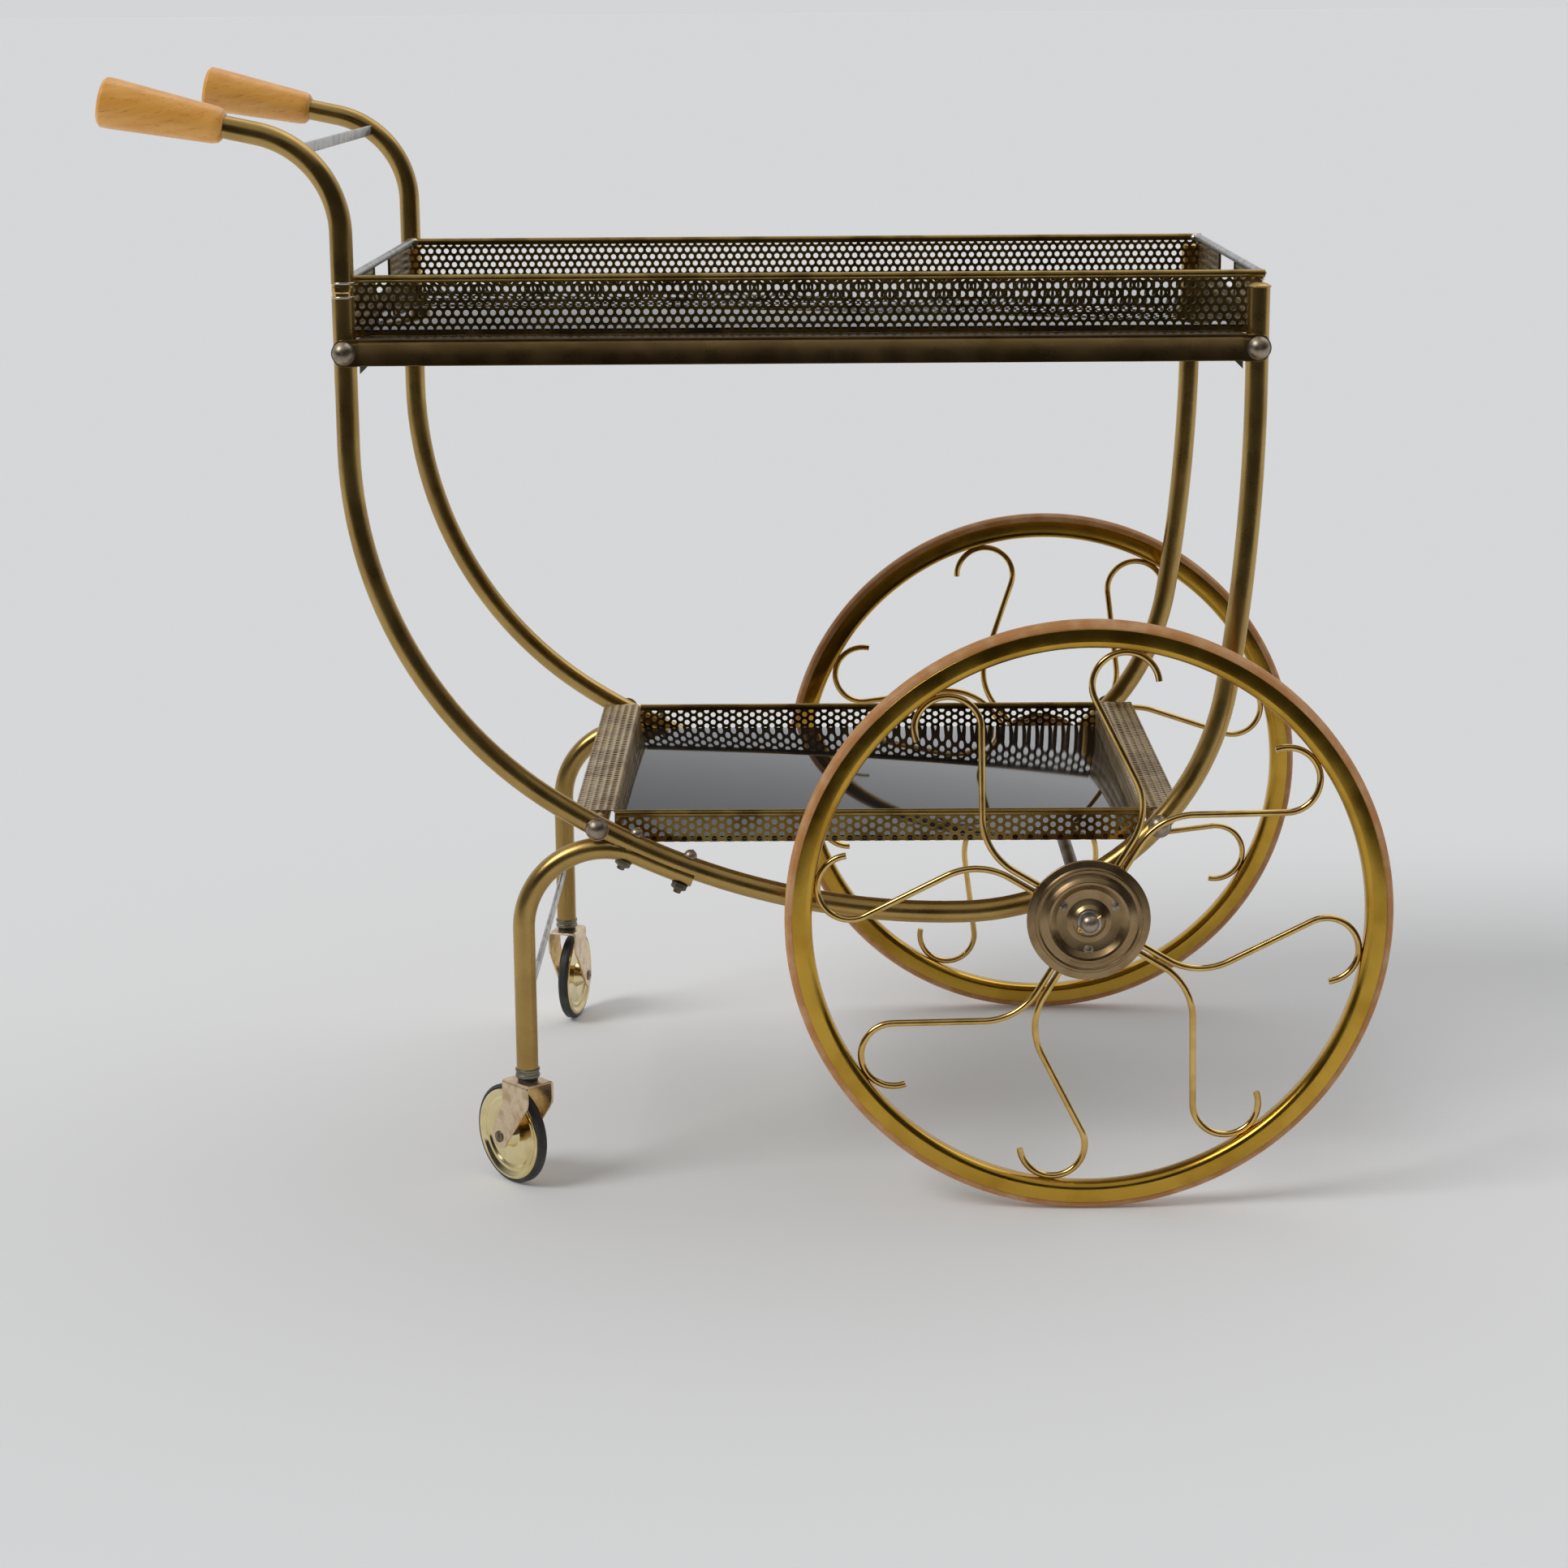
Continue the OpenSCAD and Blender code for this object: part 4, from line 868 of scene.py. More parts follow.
# %% The tree that repeats the tile
def sheet_tree():
    tree, given, end = new_tree("perforated_sheet", [
        ("Tile", "NodeSocketGeometry"), ("Tiles across", "NodeSocketInt"), ("Tiles up", "NodeSocketInt"),
        ("Width", "NodeSocketFloat"), ("Height", "NodeSocketFloat"), ("Finish", "NodeSocketMaterial")])
    add, link = tree.nodes.new, tree.links.new
    grid = add("GeometryNodeMeshGrid")
    tiles = add("GeometryNodeInstanceOnPoints")
    weld = add("GeometryNodeMergeByDistance")
    weld.inputs["Distance"].default_value = 0.00003
    link(given.outputs["Tiles across"], grid.inputs["Vertices X"])
    link(given.outputs["Tiles up"], grid.inputs["Vertices Y"])
    link(given.outputs["Width"], grid.inputs["Size X"])
    link(given.outputs["Height"], grid.inputs["Size Y"])
    link(grid.outputs["Mesh"], tiles.inputs["Points"])
    link(given.outputs["Tile"], tiles.inputs["Instance"])
    link(realised(tree, tiles.outputs["Instances"]), weld.inputs["Geometry"])
    return painted(tree, given, end, weld.outputs["Geometry"])


SHEET = sheet_tree()


def perforated(low, high, finish, thickness, phase):
    """A sheet from corner low to corner high, with a hole centred at phase."""
    count = [int((b - a) / t) + 4 for a, b, t in zip(low, high, (TILE_W, TILE_H))]
    mesh = grown(hole_tile(), SHEET, {
        "Tiles across": count[0], "Tiles up": count[1], "Width": (count[0] - 1) * TILE_W,
        "Height": (count[1] - 1) * TILE_H, "Finish": finish})
    middle = [(a + b) / 2 for a, b in zip(low, high)]
    shift = []
    for n, t, m, p in zip(count, (TILE_W, TILE_H), middle, phase):
        first = -(n - 1) * t / 2
        shift.append(p - first + round((m + first - p) / t) * t)
    sheet = bmesh.new()
    sheet.from_mesh(mesh)
    bmesh.ops.translate(sheet, verts=sheet.verts, vec=(*shift, 0))
    for point, normal in (((low[0], 0, 0), (-1, 0, 0)), ((high[0], 0, 0), (1, 0, 0)),
                          ((0, low[1], 0), (0, -1, 0)), ((0, high[1], 0), (0, 1, 0))):
        bmesh.ops.bisect_plane(sheet, geom=sheet.verts[:] + sheet.edges[:] + sheet.faces[:], dist=TINY,
                               plane_co=point, plane_no=normal, clear_outer=True)
    thick(sheet, thickness)
    return from_bmesh(sheet, "sheet")


def thick(sheet, thickness):
    """Turns a flat sheet at z 0 into a closed one that reaches from 0 to thickness."""
    bmesh.ops.recalc_face_normals(sheet, faces=sheet.faces)
    if sheet.faces and next(iter(sheet.faces)).normal.z > 0:
        bmesh.ops.reverse_faces(sheet, faces=sheet.faces[:])
    raised(sheet, thickness)


def open_edges(mesh):
    shape = bmesh.new()
    shape.from_mesh(mesh)
    count = sum(1 for e in shape.edges if not e.is_manifold)
    shape.free()
    return count


# %% [markdown]
# ## Upper tray
# The upper tray is a shallow box that lifts off. Its walls are perforated sheet. The long
# sides have a half-round brass rim. The ends are held by plain steel bars, with a hand hold
# below each bar whose edges are folded over for the fingers. A black glass plate lies inside.

# %% Upper tray: sizes from the CAD
pan_low, pan_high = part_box("upper_tray_pan")
rims_low, rims_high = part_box("upper_tray_rims")
ends_low, ends_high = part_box("upper_tray_end_bars")
RIM_R = (rims_high.z - rims_low.z) / 2
RIM_Z = (rims_high.z + rims_low.z) / 2
rim_y = rims_high.y - RIM_R
end_x = (ends_low.x + RIM_R, ends_high.x - RIM_R)
SHEET_T, HAND_W, HAND_H = 0.0008, 0.094, 0.024
wall_top = RIM_Z - RIM_R * 0.5
holes_row = RIM_Z - 0.0075

# %% Upper walls
def upright(x, y, z, facing):
    """The sheet's width runs along X (facing 'y') or along Y (facing 'x'), and its height along Z."""
    turn = spun(90, "X") if facing == "y" else spun(90, "Z") @ spun(90, "X")
    return at(x, y, z) @ turn


walls = []
for s in SIDES.values():
    sheet = perforated((pan_low.x, pan_low.z + 0.0001), (pan_high.x, wall_top), sheet_brass,
                       SHEET_T, ((pan_low.x + pan_high.x) / 2, holes_row))
    sheet.transform(upright(0, s * pan_high.y if s > 0 else -pan_high.y + SHEET_T, 0, "y"))
    walls.append(sheet)
half_w = pan_high.y - SHEET_T
hold_low = wall_top - HAND_H
for x in (pan_low.x, pan_high.x - SHEET_T):
    for low, high in (((-half_w, pan_low.z + 0.0001), (half_w, hold_low)),
                      ((-half_w, hold_low), (-HAND_W / 2, wall_top)),
                      ((HAND_W / 2, hold_low), (half_w, wall_top))):
        sheet = perforated(low, high, sheet_brass, SHEET_T, (0, holes_row))
        sheet.transform(upright(x, 0, 0, "x"))
        walls.append(sheet)
gallery = joined(walls)
print("upper walls", len(gallery.polygons), "faces, open edges", open_edges(gallery))
mount("upper_tray_walls", gallery, sheet_brass, "upper_tray", ["upper_tray_gallery"])

# %% Folded hems round the hand holds
hems = []
for x in (pan_low.x + SHEET_T / 2, pan_high.x - SHEET_T / 2):
    for y in (-HAND_W / 2, HAND_W / 2):
        section = rounded(box_outline(-0.0011, -0.0022, 0.0011, 0.0022), 0.0008)
        hems.append(slab(section, HAND_H, at(x, y, hold_low)))
    section = rounded(box_outline(-0.0011, -0.0020, 0.0011, 0.0020), 0.0008)
    hems.append(slab(section, HAND_W, at(x, HAND_W / 2, hold_low) @ spun(90, "X")))
mount("hand_hold_hems", joined(hems), sheet_brass, "upper_tray")

# %% Upper rims, end bars, pan and glass
rim_lines = [[(rims_low.x + 0.0004, s * rim_y, RIM_Z), (rims_high.x - 0.0004, s * rim_y, RIM_Z)]
             for s in SIDES.values()]
mount("upper_side_rims", bars(rim_lines, RIM_R, sheet_brass, 24), sheet_brass, "upper_tray",
      ["upper_tray_rims"])
bar_lines = [[(x, ends_low.y, RIM_Z), (x, ends_high.y, RIM_Z)] for x in end_x]
mount("upper_end_bars", bars(bar_lines, RIM_R, bare_steel, 24), bare_steel, "upper_tray",
      ["upper_tray_end_bars"])


def plate(node, finish, name, body, corner, edge, inset=0.0):
    low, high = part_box(node)
    outline = rounded(box_outline(low.x + inset, low.y + inset, high.x - inset, high.y - inset), corner)
    mount(name, slab(outline, high.z - low.z, at(0, 0, low.z), edge), finish, body, [node], 20)


plate("upper_tray_pan", sheet_brass, "upper_tray_base", "upper_tray",
      0.001, 0.0002, 0.0009)
plate("upper_tray_glass", black_glass, "upper_glass_plate", "upper_tray", 0.003, 0.0006)

# %% Solder lumps where the rims meet the end bars
def lump(centre, size, seed):
    shape = bmesh.new()
    bmesh.ops.create_icosphere(shape, subdivisions=3, radius=1.0)
    for v in shape.verts:
        wave = (math.sin(3.1 * v.co.x + seed) + math.sin(4.3 * v.co.y + 2 * seed)
                + math.sin(3.7 * v.co.z + 3 * seed)) / 3
        v.co *= 1 + 0.16 * wave
        v.co = Vector([c + d * r for c, d, r in zip(centre, v.co, size)])
    return from_bmesh(shape, "lump")


lumps = []
for i, (x, s) in enumerate((x, s) for x in end_x for s in SIDES.values()):
    lumps.append(lump((x + (0.002 if x < 0 else -0.002), s * (rim_y - 0.001), RIM_Z - 0.0002),
                      (0.0052, 0.0036, 0.0029), i + 1.3))
    lumps.append(lump((x, s * (rim_y - 0.0025), RIM_Z - 0.0035), (0.0024, 0.0032, 0.0030), i + 4.1))
mount("upper_corner_solder", joined(lumps), solder, "upper_tray")

# %% [markdown]
# ## Lower tray
# The lower tray is smaller and hangs on the two cross bars by its end flanges. Each flange and
# end wall is one strip of perforated sheet with a rounded fold. So the strip is made flat,
# cut finely where it will bend, and then every point is carried round the fold.

# %% Lower tray: sizes from the CAD
well_low, well_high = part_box("lower_tray_pan")
flange_low, flange_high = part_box("lower_tray_flanges")
lrims_low, lrims_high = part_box("lower_tray_rims")
LRIM_Y, LRIM_Z = lrims_high.y - RIM_R, (lrims_low.z + lrims_high.z) / 2
FOLD_R = 0.0034

# %% End flanges: flat strip, then the fold
def fold_point(u, depth, flat):
    """u runs along the strip from its outer edge, depth is how far a point lies under its upper face."""
    turn = FOLD_R * math.pi / 2
    if u <= flat:
        return u, -depth
    if u <= flat + turn:
        a = (u - flat) / FOLD_R
        return flat + (FOLD_R - depth) * math.sin(a), -FOLD_R + (FOLD_R - depth) * math.cos(a)
    return flat + FOLD_R - depth, -FOLD_R - (u - flat - turn)


def flange(end):
    inner = well_low.x + SHEET_T if end < 0 else well_high.x - SHEET_T
    outer = flange_low.x if end < 0 else flange_high.x
    flat = abs(inner - outer) - FOLD_R
    turn = FOLD_R * math.pi / 2
    length = flat + turn + (flange_high.z - FOLD_R - well_high.z)
    reach = flange_high.y
    made = perforated((-reach, 0), (reach, length), flange_brass, SHEET_T, (0, 0.0026))
    strip = bmesh.new()
    strip.from_mesh(made)
    for k in range(8):
        bmesh.ops.bisect_plane(strip, geom=strip.verts[:] + strip.edges[:] + strip.faces[:], dist=TINY,
                               plane_co=(0, flat + turn * k / 7, 0), plane_no=(0, 1, 0))
    for v in strip.verts:
        across, up = fold_point(v.co.y, v.co.z, flat)
        v.co = Vector((outer - end * across, v.co.x, flange_high.z + up))
    bmesh.ops.recalc_face_normals(strip, faces=strip.faces)
    return from_bmesh(strip, "flange")


flanges = joined([flange(-1), flange(1)])
print("flanges", len(flanges.polygons), "faces, open edges", open_edges(flanges))
mount("lower_tray_end_flanges", flanges, flange_brass, "lower_tray", ["lower_tray_flanges"],
      50)

# %% Long walls, rims, pan and glass
ALONG_X = Matrix(((0, 1, 0, 0), (0, 0, 1, 0), (1, 0, 0, 0), (0, 0, 0, 1)))
long_walls = []
for s in SIDES.values():
    sheet = perforated((well_low.z + 0.0001, well_low.x), (LRIM_Z - RIM_R * 0.5, well_high.x), sheet_brass,
                       SHEET_T, (well_low.z + 0.0023, 0))
    sheet.transform(at(0, well_high.y - SHEET_T if s > 0 else -well_high.y, 0) @ ALONG_X)
    long_walls.append(sheet)
mount("lower_tray_long_walls", joined(long_walls), sheet_brass, "lower_tray",
      ["lower_tray_gallery"])
rim_lines = [[(lrims_low.x, s * LRIM_Y, LRIM_Z), (lrims_high.x, s * LRIM_Y, LRIM_Z)] for s in SIDES.values()]
mount("lower_side_rims", bars(rim_lines, RIM_R, sheet_brass, 24), sheet_brass, "lower_tray",
      ["lower_tray_rims"])
plate("lower_tray_pan", sheet_brass, "lower_tray_base", "lower_tray",
      0.001, 0.0002, 0.0009)
plate("lower_tray_glass", black_glass, "lower_glass_plate", "lower_tray", 0.003, 0.0006)

# %% [markdown]
# ## Large wheels
# A large wheel is a folded brass channel with a rubber band in it, and eight scroll rods. The
# rods leave the hub in four pairs. Each runs straight, bends away from its partner, and ends
# in a hook that is brazed to the rim. Rim, tyre and hub discs are turned profiles, and the
# rods are swept bars.

# %% Where a wheel stands: Z points outwards along the axle
PHASE = {"left": 129.5, "right": 149.0}


def wheel_place(side):
    s = SIDES[side]
    return at(AXLE_X, s * WHEEL_Y, AXLE_Z) @ spun(-PHASE[side], "Y") @ spun(-90 * s, "X")


# %% Tyre and rim profiles
RIM_OUT = WHEEL_R - 0.0055
RIM_IN = RIM_OUT - 0.014
tyre_outline = rounded([
    (RIM_OUT - 0.0039, -0.0069), (RIM_OUT + 0.0008, -0.0070), (WHEEL_R - 0.0018, -0.0066),
    (WHEEL_R, -0.0030), (WHEEL_R, 0.0030), (WHEEL_R - 0.0018, 0.0066), (RIM_OUT + 0.0008, 0.0070),
    (RIM_OUT - 0.0039, 0.0069)], 0.0012, 3)
rim_outline = rounded([
    (RIM_IN, -0.008, 0.0052), (RIM_OUT, -0.008, 0.0004), (RIM_OUT, -0.0071, 0.0004),
    (RIM_OUT - 0.0041, -0.0071, 0.0003), (RIM_OUT - 0.0041, 0.0071, 0.0003), (RIM_OUT, 0.0071, 0.0004),
    (RIM_OUT, 0.008, 0.0004), (RIM_IN, 0.008, 0.0052)], 0.001, 5)

# %% One scroll rod, beside the X axis of the wheel
ROD_R, ROD_GAP, ROD_START, BEND_FROM, BEND_R = 0.0024, 0.0005, 0.030, 0.064, 0.046
HOOK_R, HOOK_TURN, HOOK_DIR = 0.0235, 200, 23
hook_far = RIM_IN + 0.0003 - ROD_R - HOOK_R


def scroll_line():
    first = Vector((BEND_FROM, ROD_GAP + ROD_R))
    bend_c = first + Vector((0, BEND_R))
    hook_c = hook_far * Vector((math.cos(math.radians(HOOK_DIR)), math.sin(math.radians(HOOK_DIR))))
    between = hook_c - bend_c
    straight = math.sqrt(between.length_squared - (BEND_R + HOOK_R) ** 2)
    turn = math.degrees(math.atan2(between.y, between.x) + math.atan2(BEND_R + HOOK_R, straight))
    return bent((ROD_START, first.y, 0), [(0, BEND_FROM - ROD_START), (BEND_R, turn), (0, straight),
                                          (HOOK_R, -HOOK_TURN)], 0.003)


scroll = scroll_line()

# %% Hub profiles
HUB_R, HUB_HALF, CAP_FACE, HUB_IN, AXLE_R = 0.044, ROD_R + 0.0001, 0.009, 0.015, 0.005
hub_steps = [(HUB_R, 0), (HUB_R, 1.8), (HUB_R - 0.0055, 2.2), (HUB_R - 0.006, 3.6),
             (HUB_R - 0.008, 3.6), (HUB_R - 0.009, 2.8), (HUB_R - 0.012, 4.4), (HUB_R - 0.015, 6.6),
             (HUB_R - 0.017, 6.0), (HUB_R - 0.021, 3.0), (HUB_R - 0.028, 2.4), (HUB_R - 0.032, 4.2),
             (HUB_R - 0.0345, 6.5), (AXLE_R + 0.0002, 6.5)]
cap_profile = rounded([(AXLE_R + 0.0002, HUB_HALF)] + [(r, HUB_HALF + h * MM) for r, h in hub_steps],
                      0.0009, 3)
plate_profile = rounded([(0.0091, -HUB_HALF), (0.0091, -HUB_HALF - 0.0025),
                         (HUB_R - 0.002, -HUB_HALF - 0.0025), (HUB_R - 0.002, -HUB_HALF)], 0.0006)
barrel_profile = rounded([(AXLE_R + 0.00005, -HUB_IN), (0.009, -HUB_IN), (0.009, HUB_HALF - 0.0001),
                          (AXLE_R + 0.00005, HUB_HALF - 0.0001)], 0.0008)

# %% Hub screws: low heads with a driver's slot
def slotted_head():
    head = turned(dome_outline(0.0034, 0.0017, 0.0001), Matrix(), 32)
    cutter = slab(box_outline(-0.004, -0.0004, 0.004, 0.0004), 0.003, at(0, 0, 0.0008))
    carrier = bpy.data.objects.new("head", head)
    tool = bpy.data.objects.new("tool", cutter)
    for thing in (carrier, tool):
        bpy.context.scene.collection.objects.link(thing)
    slot_cut = carrier.modifiers.new("slot", "BOOLEAN")
    slot_cut.object, slot_cut.operation, slot_cut.solver = tool, "DIFFERENCE", "EXACT"
    result = with_modifiers(carrier)
    bpy.data.objects.remove(tool)
    return result


screw_head = slotted_head()

# %% Both large wheels
OUTER_RINGS = (("wheel_tyre", tyre_outline, 192, tan_rubber, "tan_tyre"),
               ("wheel_rim", rim_outline, 192, rim_brass, "polished_brass"))
HUB_RINGS = (("hub_cap", cap_profile, 128, hub_brass, "antique_brass"),
             ("hub_plate", plate_profile, 96, hub_brass, "antique_brass"),
             ("hub_barrel", barrel_profile, 48, pewter, "pewter"))
SCREW_CIRCLE = 0.0214


def mount_rings(rings, side, place, body):
    for piece, profile, parts, finish, slot in rings:
        mount(f"{side}_{piece}", turned(profile, place, parts), finish, body, [f"{piece}_{side}"])


for side, s in SIDES.items():
    place, body = wheel_place(side), f"wheel_{side}"
    mount_rings(OUTER_RINGS, side, place, body)
    lines = [[place @ spun(90 * pair, "Z") @ Vector((p[0], flip * p[1], 0)) for p in scroll]
             for pair in range(4) for flip in (1, -1)]
    mount(f"{side}_wheel_scrolls", bars(lines, ROD_R, rod_brass, 16), rod_brass, body,
          [f"wheel_scrolls_{side}"])
    mount_rings(HUB_RINGS, side, place, body)
    heads = [place @ spun(a + s * PHASE[side], "Z") @ at(SCREW_CIRCLE, 0, HUB_HALF + 0.0026)
             @ spun(3 * a, "Z") for a in (30, 150, 270)]
    mount(f"{side}_hub_screws", copies(screw_head.copy(), heads, pewter), pewter, body,
          [f"hub_screws_{side}"])
print("scroll rod points", len(scroll))

# %% [markdown]
# ## Axle
# The axle is a plain steel bar, carried in lugs under the side tubes. Washers keep the hubs
# in place, and a domed cap closes each end, held by a split pin: a folded wire with an eye.

# %% Axle, lugs and washers
axle_outline = rounded(box_outline(0, axle_low.y, AXLE_R, axle_high.y), 0.001)
axle_place = at(AXLE_X, 0, AXLE_Z) @ spun(-90, "X")
mount("axle_bar", turned(axle_outline, axle_place, 40), dark_steel, "frame", ["axle"])
washer_outline = rounded(box_outline(AXLE_R + GAP, 0, 0.0085, 0.0012), 0.0003)
washers = [turned(washer_outline, outward(AXLE_X, y, AXLE_Z, s), 40)
           for s in SIDES.values() for y in (WHEEL_Y - HUB_IN - 0.0015, WHEEL_Y + CAP_FACE + 0.0003)]
mount("axle_washer_rings", joined(washers), bare_steel, "frame", ["axle_washers"])


def dress(node, finish):
    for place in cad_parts[node].material_slots:
        place.material = finish


dress("axle_lugs", tube_brass)
dress("corner_gussets", bare_steel)

# %% Domed axle caps and split pins
CAP_BASE = WHEEL_Y + CAP_FACE + 0.0016
CAP_R, CAP_SIDE, CAP_DOME = 0.0065, 0.0045, 0.004
ball = (CAP_R ** 2 + CAP_DOME ** 2) / (2 * CAP_DOME)
cap_shape = [(0, 0.0001), (CAP_R, 0), (CAP_R, CAP_SIDE)]
for k in range(1, 9):
    r = CAP_R * math.cos(math.radians(90) * k / 9)
    cap_shape.append((r, CAP_SIDE + CAP_DOME - ball + math.sqrt(ball * ball - r * r)))
cap_shape.append((0, CAP_SIDE + CAP_DOME))
end_caps = [turned(cap_shape, outward(AXLE_X, CAP_BASE, AXLE_Z, s), 40) for s in SIDES.values()]
mount("axle_end_caps", joined(end_caps), pewter, "frame", ["axle_caps"])
PIN_Y, PIN_R, EYE_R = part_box("split_pins")[1].y - 0.0009, 0.0008, 0.0014
pins = []
for s in SIDES.values():
    way = Matrix.Translation((AXLE_X, s * PIN_Y, AXLE_Z)) @ spun(55, "Y")
    eye = [(EYE_R * math.sin(math.radians(a)), 0, -0.0082 + EYE_R * math.cos(math.radians(a)))
           for a in range(0, 361, 20)]
    pins.append([way @ Vector(p) for p in [(0, 0, 0.0096), (0, 0, -0.0068), *eye[1:]]])
mount("axle_split_pins", bars(pins, PIN_R, rod_brass, 12), rod_brass, "frame",
      ["split_pins"])

# %% [markdown]
# ## Casters
# A caster is a bent sheet fork on a stem that turns in a socket in the leg's foot. The fork is
# one strip, wide at the top and narrowed to a boss round the wheel's rivet. Its wheel is a
# pressed disc with a stepped face and a thin grey tyre.

# %% Sockets
CASTER_YAW = {"left": 77.0, "right": 133.0}
FOOT = LEG_FOOT
socket_outline = rounded([
    (0.0051, FOOT - 0.007), (0.0082, FOOT - 0.007), (0.0090, FOOT - 0.0062), (0.0090, FOOT - 0.0044),
    (0.0084, FOOT - 0.0040), (0.0084, FOOT - 0.0022), (0.0090, FOOT - 0.0018), (0.0090, FOOT - 0.0001),
    (0.0051, FOOT - 0.0001)], 0.0004)
sockets = [turned(socket_outline, at(LEG_X, s * SIDE_Y, 0), 48) for s in SIDES.values()]
mount("caster_leg_sockets", joined(sockets), ferrule_metal, "frame", ["caster_sockets"])

# %% Fork: a strip that runs up one cheek, over the top and down the other
CASTER_R = (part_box("caster_tyre_right")[1].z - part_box("caster_tyre_right")[0].z) / 2
TRAIL, FORK_T, FORK_IN, BOSS = 0.020, 0.0018, 0.0107, 0.009
FORK_FRONT, FORK_BACK = -0.0145, 0.0155
FORK_TOP = FOOT - 0.0095
FORK_BEND = 0.0030
FRONT_WAIST, BACK_WAIST = FORK_TOP - 0.016, FORK_TOP - 0.018  # where the cheek starts to narrow


def cheek_span(z):
    """Front and back edge of a cheek at height z."""
    lean = max(0.0, min(1.0, (FRONT_WAIST - z) / (FRONT_WAIST - CASTER_R + 0.007)))
    front = FORK_FRONT + lean * (TRAIL - 0.0055 - FORK_FRONT)
    lean = max(0.0, min(1.0, (BACK_WAIST - z) / (BACK_WAIST - CASTER_R - 0.003)))
    back = FORK_BACK + lean * (TRAIL + BOSS - 0.0006 - FORK_BACK)
    if z < CASTER_R + BOSS:
        half = math.sqrt(max(1e-8, BOSS ** 2 - (z - CASTER_R) ** 2))
        front = min(front, TRAIL - half) if z > CASTER_R - 0.0068 else TRAIL - half
        back = max(back, TRAIL + half) if z > CASTER_R + 0.003 else TRAIL + half
    return front, back


def fork_section(y, z, ny, nz, height):
    """A cross-section of the strip: (y, z) is its inner face, (ny, nz) points outwards."""
    front, back = cheek_span(height)
    soft = min(0.0005, (back - front) / 4)
    section = []
    for x, out in ((front + soft, 0), (front, soft), (front, FORK_T - soft), (front + soft, FORK_T),
                   (back - soft, FORK_T), (back, FORK_T - soft), (back, soft), (back - soft, 0)):
        section.append((x, y + ny * out, z + nz * out))
    return section


def fork_mesh():
    """Stations up the left cheek and over to the middle, then the same ones mirrored."""
    stations = []
    for k in range(0, 13):
        z = CASTER_R - BOSS * math.cos(math.radians(90 * k / 12))
        stations.append((FORK_IN, z, 1.0, 0.0, z))
    for k in range(1, 10):
        z = CASTER_R + (FORK_TOP - FORK_BEND - CASTER_R) * k / 9
        stations.append((FORK_IN, z, 1.0, 0.0, z))
    inner = FORK_BEND - FORK_T
    for k in range(1, 7):
        a = math.radians(90 * k / 6)
        stations.append((FORK_IN - inner + inner * math.cos(a), FORK_TOP - FORK_BEND + inner * math.sin(a),
                         math.cos(a), math.sin(a), FORK_TOP))
    half = [fork_section(*s) for s in stations]
    other = [[(x, -y, z) for x, y, z in section] for section in half[::-1]]
    return loft(half + other)


# %% Wheel disc, tyre, rivet and neck profiles
DISC_R = CASTER_R - 0.0032
disc_half = [(0.00305, 10.4), (0.0068, 10.4), (0.0105, 1.9), (DISC_R - 0.0100, 1.6), (DISC_R - 0.0082, 3.0),
             (DISC_R - 0.0070, 3.1), (DISC_R - 0.0058, 2.7), (DISC_R - 0.0030, 4.3), (DISC_R - 0.0012, 4.9),
             (DISC_R, 4.3)]
disc_outline = rounded([(r, h * MM) for r, h in disc_half]
                       + [(r, -h * MM) for r, h in disc_half[::-1]], 0.0008, 3)
caster_tyre_outline = rounded([
    (DISC_R + 0.0001, -0.0041), (CASTER_R - 0.0018, -0.0041), (CASTER_R, -0.0024), (CASTER_R, 0.0024),
    (CASTER_R - 0.0018, 0.0041), (DISC_R + 0.0001, 0.0041)], 0.001, 4)
rivet_head = dome_outline(0.0040, 0.0014, 0.0003)
neck_outline = rounded([(0, FORK_TOP - 0.001), (0.0074, FORK_TOP - 0.001), (0.0074, FORK_TOP + 0.0012),
                        (0.0060, FORK_TOP + 0.0022), (0.0049, FORK_TOP + 0.0022), (0.0049, FORK_TOP + 0.012),
                        (0, FORK_TOP + 0.012)], 0.0005)

# %% Both casters
for side, s in SIDES.items():
    place = at(LEG_X, s * SIDE_Y, 0) @ spun(CASTER_YAW[side], "Z")
    fork = fork_mesh()
    fork.transform(place)
    mount(f"{side}_caster_fork", fork, fork_plate, f"caster_{side}",
          [f"caster_fork_{side}"])
    mount(f"{side}_caster_neck", turned(neck_outline, place, 40), dark_rubber, f"caster_{side}")
    hub = place @ at(TRAIL, 0, CASTER_R)
    heads = [turned(rivet_head, hub @ spun(-90 * way, "X") @ at(0, 0, FORK_IN + FORK_T), 32)
             for way in (1, -1)]
    shaft = turned(box_outline(0, -FORK_IN - 0.001, 0.003, FORK_IN + 0.001), hub @ spun(90, "X"), 24)
    mount(f"{side}_caster_rivet", joined([*heads, shaft]), rivet_metal, f"caster_{side}",
          [f"caster_axle_{side}"])
    mount(f"{side}_caster_disc", turned(disc_outline, hub @ spun(90, "X"), 96), disc_brass,
          f"caster_wheel_{side}", [f"caster_disc_{side}"])
    mount(f"{side}_caster_tyre", turned(caster_tyre_outline, hub @ spun(90, "X"), 96), dark_rubber,
          f"caster_wheel_{side}", [f"caster_tyre_{side}"])

# %% [markdown]
# ## Floor, light and camera
# The trolley stands on a wide pale floor. A broad sun from the left front is the main light.
# The sky is pale behind the trolley and dim in front of it, as in a studio where only the
# backdrop is lit, so the metal shows dark and light bands. Camera rays see plain pale grey.
# Two weak suns fill in from behind and above. They cast no shadow, as a big soft light hardly does.

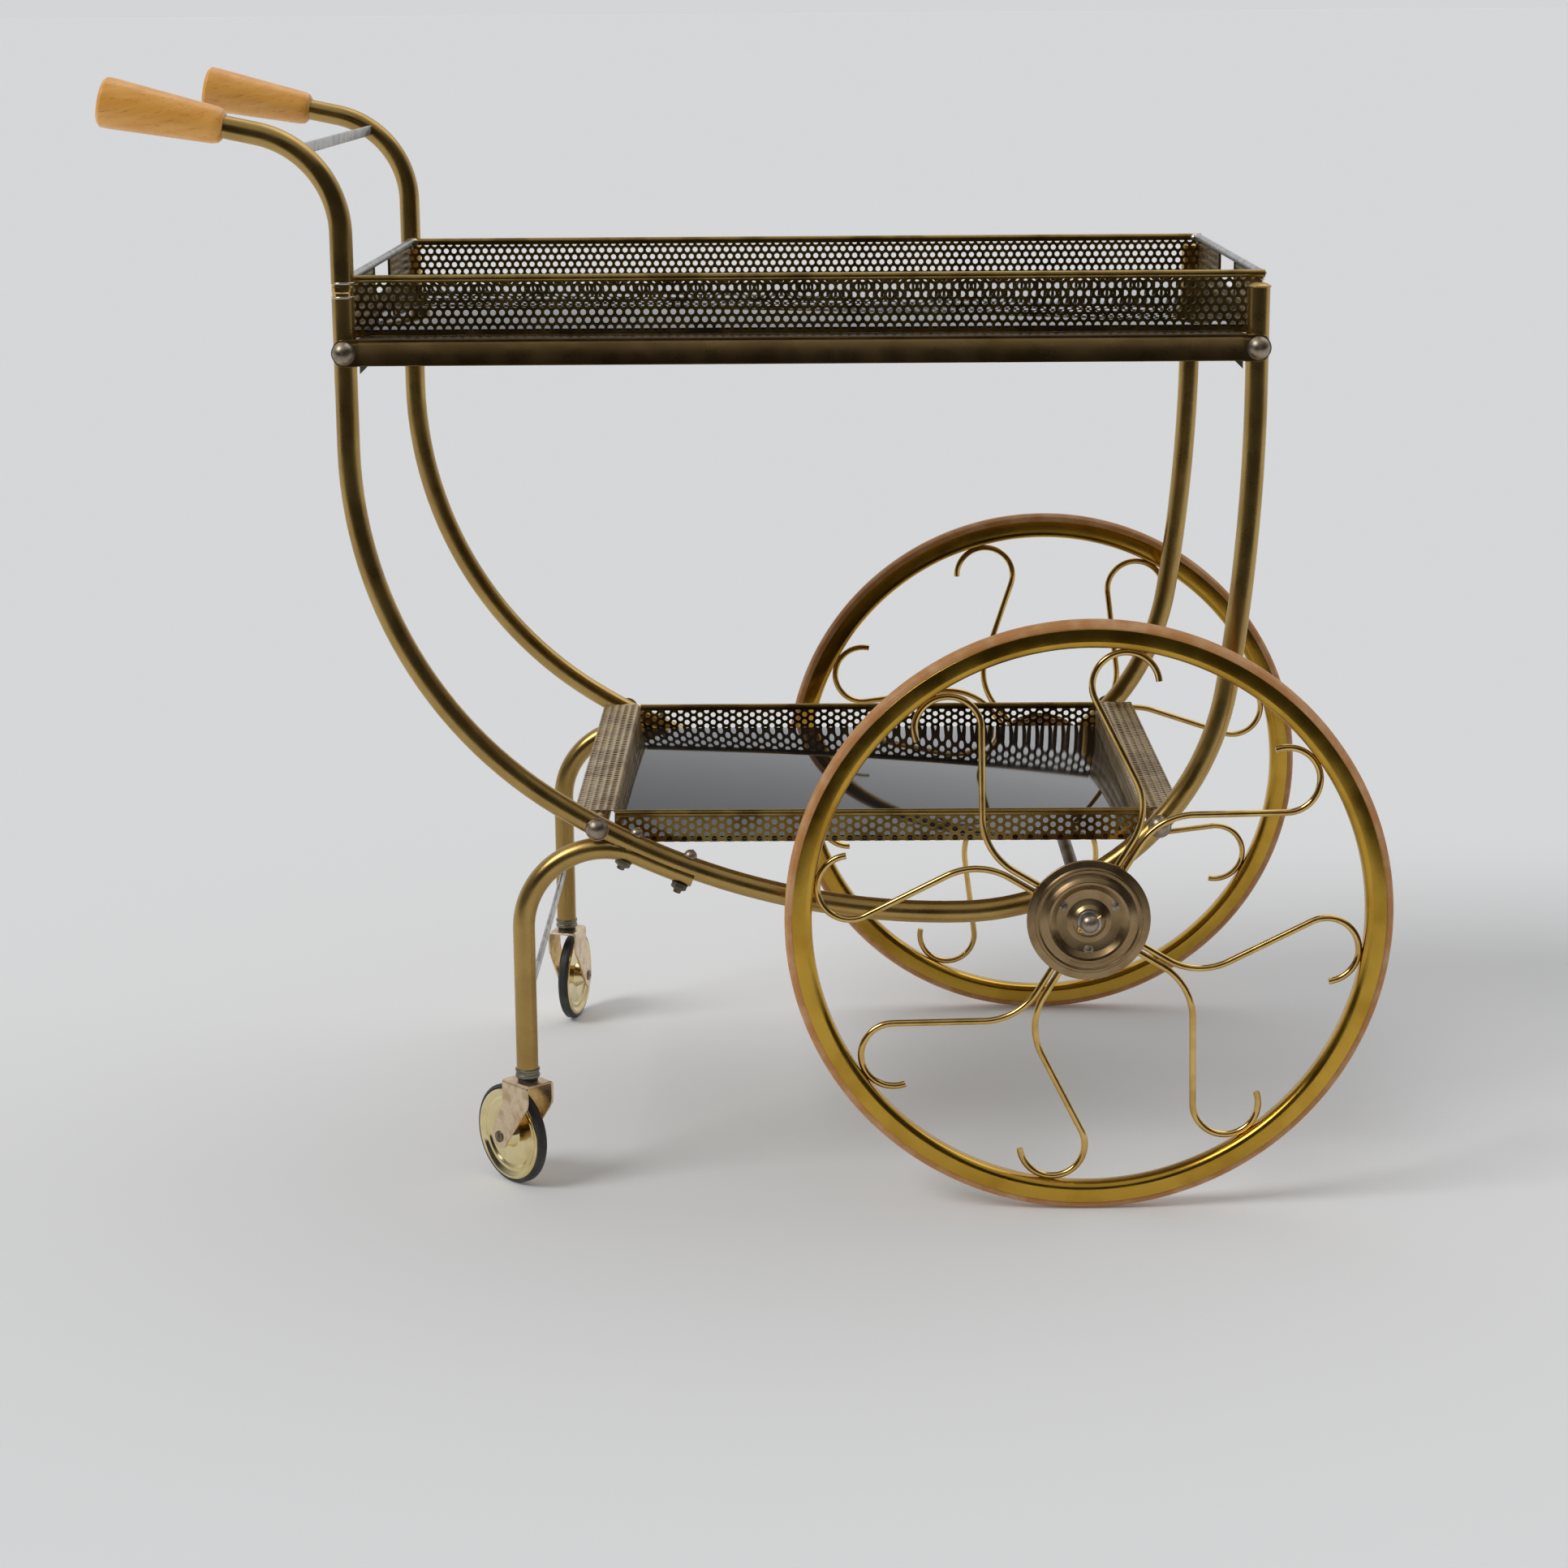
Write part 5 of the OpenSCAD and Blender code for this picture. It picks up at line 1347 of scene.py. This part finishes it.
# %% Floor
FAR, SWEEP_END = 2000, -1.2  # the floor in front of SWEEP_END isn't seen in reflections
FLOOR_TONE = (0.80, 0.805, 0.81, 1)
floor_paint = bpy.data.materials.new("floor_paint")
floor_paint.use_nodes = True
floor_shader = floor_paint.node_tree.nodes["Principled BSDF"]
floor_shader.inputs["Base Color"].default_value = FLOOR_TONE
floor_shader.inputs["Roughness"].default_value = 1.0
floor_shader.inputs["Specular IOR Level"].default_value = 0.0
for name, y0, y1 in (("floor", SWEEP_END, FAR), ("floor_front", -FAR, SWEEP_END)):
    floor_mesh = mesh_of([(-FAR, y0, 0), (FAR, y0, 0), (FAR, y1, 0), (-FAR, y1, 0)], [(0, 1, 2, 3)])
    floor_mesh.materials.append(floor_paint)
    floor = bpy.data.objects.new(name, floor_mesh)
    bpy.context.scene.collection.objects.link(floor)
floor.visible_glossy = False

# %% Sky
PALE = (0.660, 0.666, 0.680)
world = bpy.data.worlds.new("studio")
bpy.context.scene.world = world
world.use_nodes = True
nodes, links = world.node_tree.nodes, world.node_tree.links
sky = nodes["Background"]
way = nodes.new("ShaderNodeTexCoord")
parts = nodes.new("ShaderNodeSeparateXYZ")
links.new(way.outputs["Generated"], parts.inputs["Vector"])
share = levels(nodes, links, parts.outputs["Y"], -0.25, 0.60)
tones = blend_tones(nodes, links, share, (0.035, 0.034, 0.033), (0.66, 0.665, 0.68))
rays = nodes.new("ShaderNodeLightPath")
links.new(blend_tones(nodes, links, rays.outputs["Is Camera Ray"], tones, PALE), sky.inputs["Color"])
sky.inputs["Strength"].default_value = 1.0

# %% Lamps: strength, spread, azimuth and height in degrees
def sun(name, strength, spread, azimuth, height, shadow=True):
    lamp = bpy.data.lights.new(name, "SUN")
    lamp.energy, lamp.angle, lamp.use_shadow = strength, math.radians(spread), shadow
    piece = bpy.data.objects.new(name, lamp)
    piece.rotation_euler = (math.radians(90 - height), 0, math.radians(azimuth))
    bpy.context.scene.collection.objects.link(piece)


sun("key_light", 1.15, 25, -58, 44)
sun("back_light", 0.45, 50, 130, 55, False)
sun("top_light", 0.60, 90, -20, 80, False)

# %% Camera
CAMERA_AT = (0.03585, -2.49574, 0.84521)
yaw, pitch, roll = (math.radians(a) for a in (-0.44287, 13.25082, -0.41103))
ahead = Vector((math.sin(yaw) * math.cos(pitch), math.cos(yaw) * math.cos(pitch), -math.sin(pitch)))
level = Vector((math.cos(yaw), -math.sin(yaw), 0))
up = level.cross(ahead)
right = level * math.cos(roll) + up * math.sin(roll)
top = up * math.cos(roll) - level * math.sin(roll)
lens = bpy.data.cameras.new("camera")
lens.lens, lens.sensor_width, lens.clip_end = 75.35, 36.0, 2 * FAR
camera = bpy.data.objects.new("camera", lens)
turn = Matrix((right, top, -ahead)).transposed().to_4x4()
camera.matrix_world = at(*CAMERA_AT) @ turn
bpy.context.scene.collection.objects.link(camera)
bpy.context.scene.camera = camera
bpy.context.scene.view_settings.view_transform = "Standard"
bpy.context.scene.view_settings.look = "None"
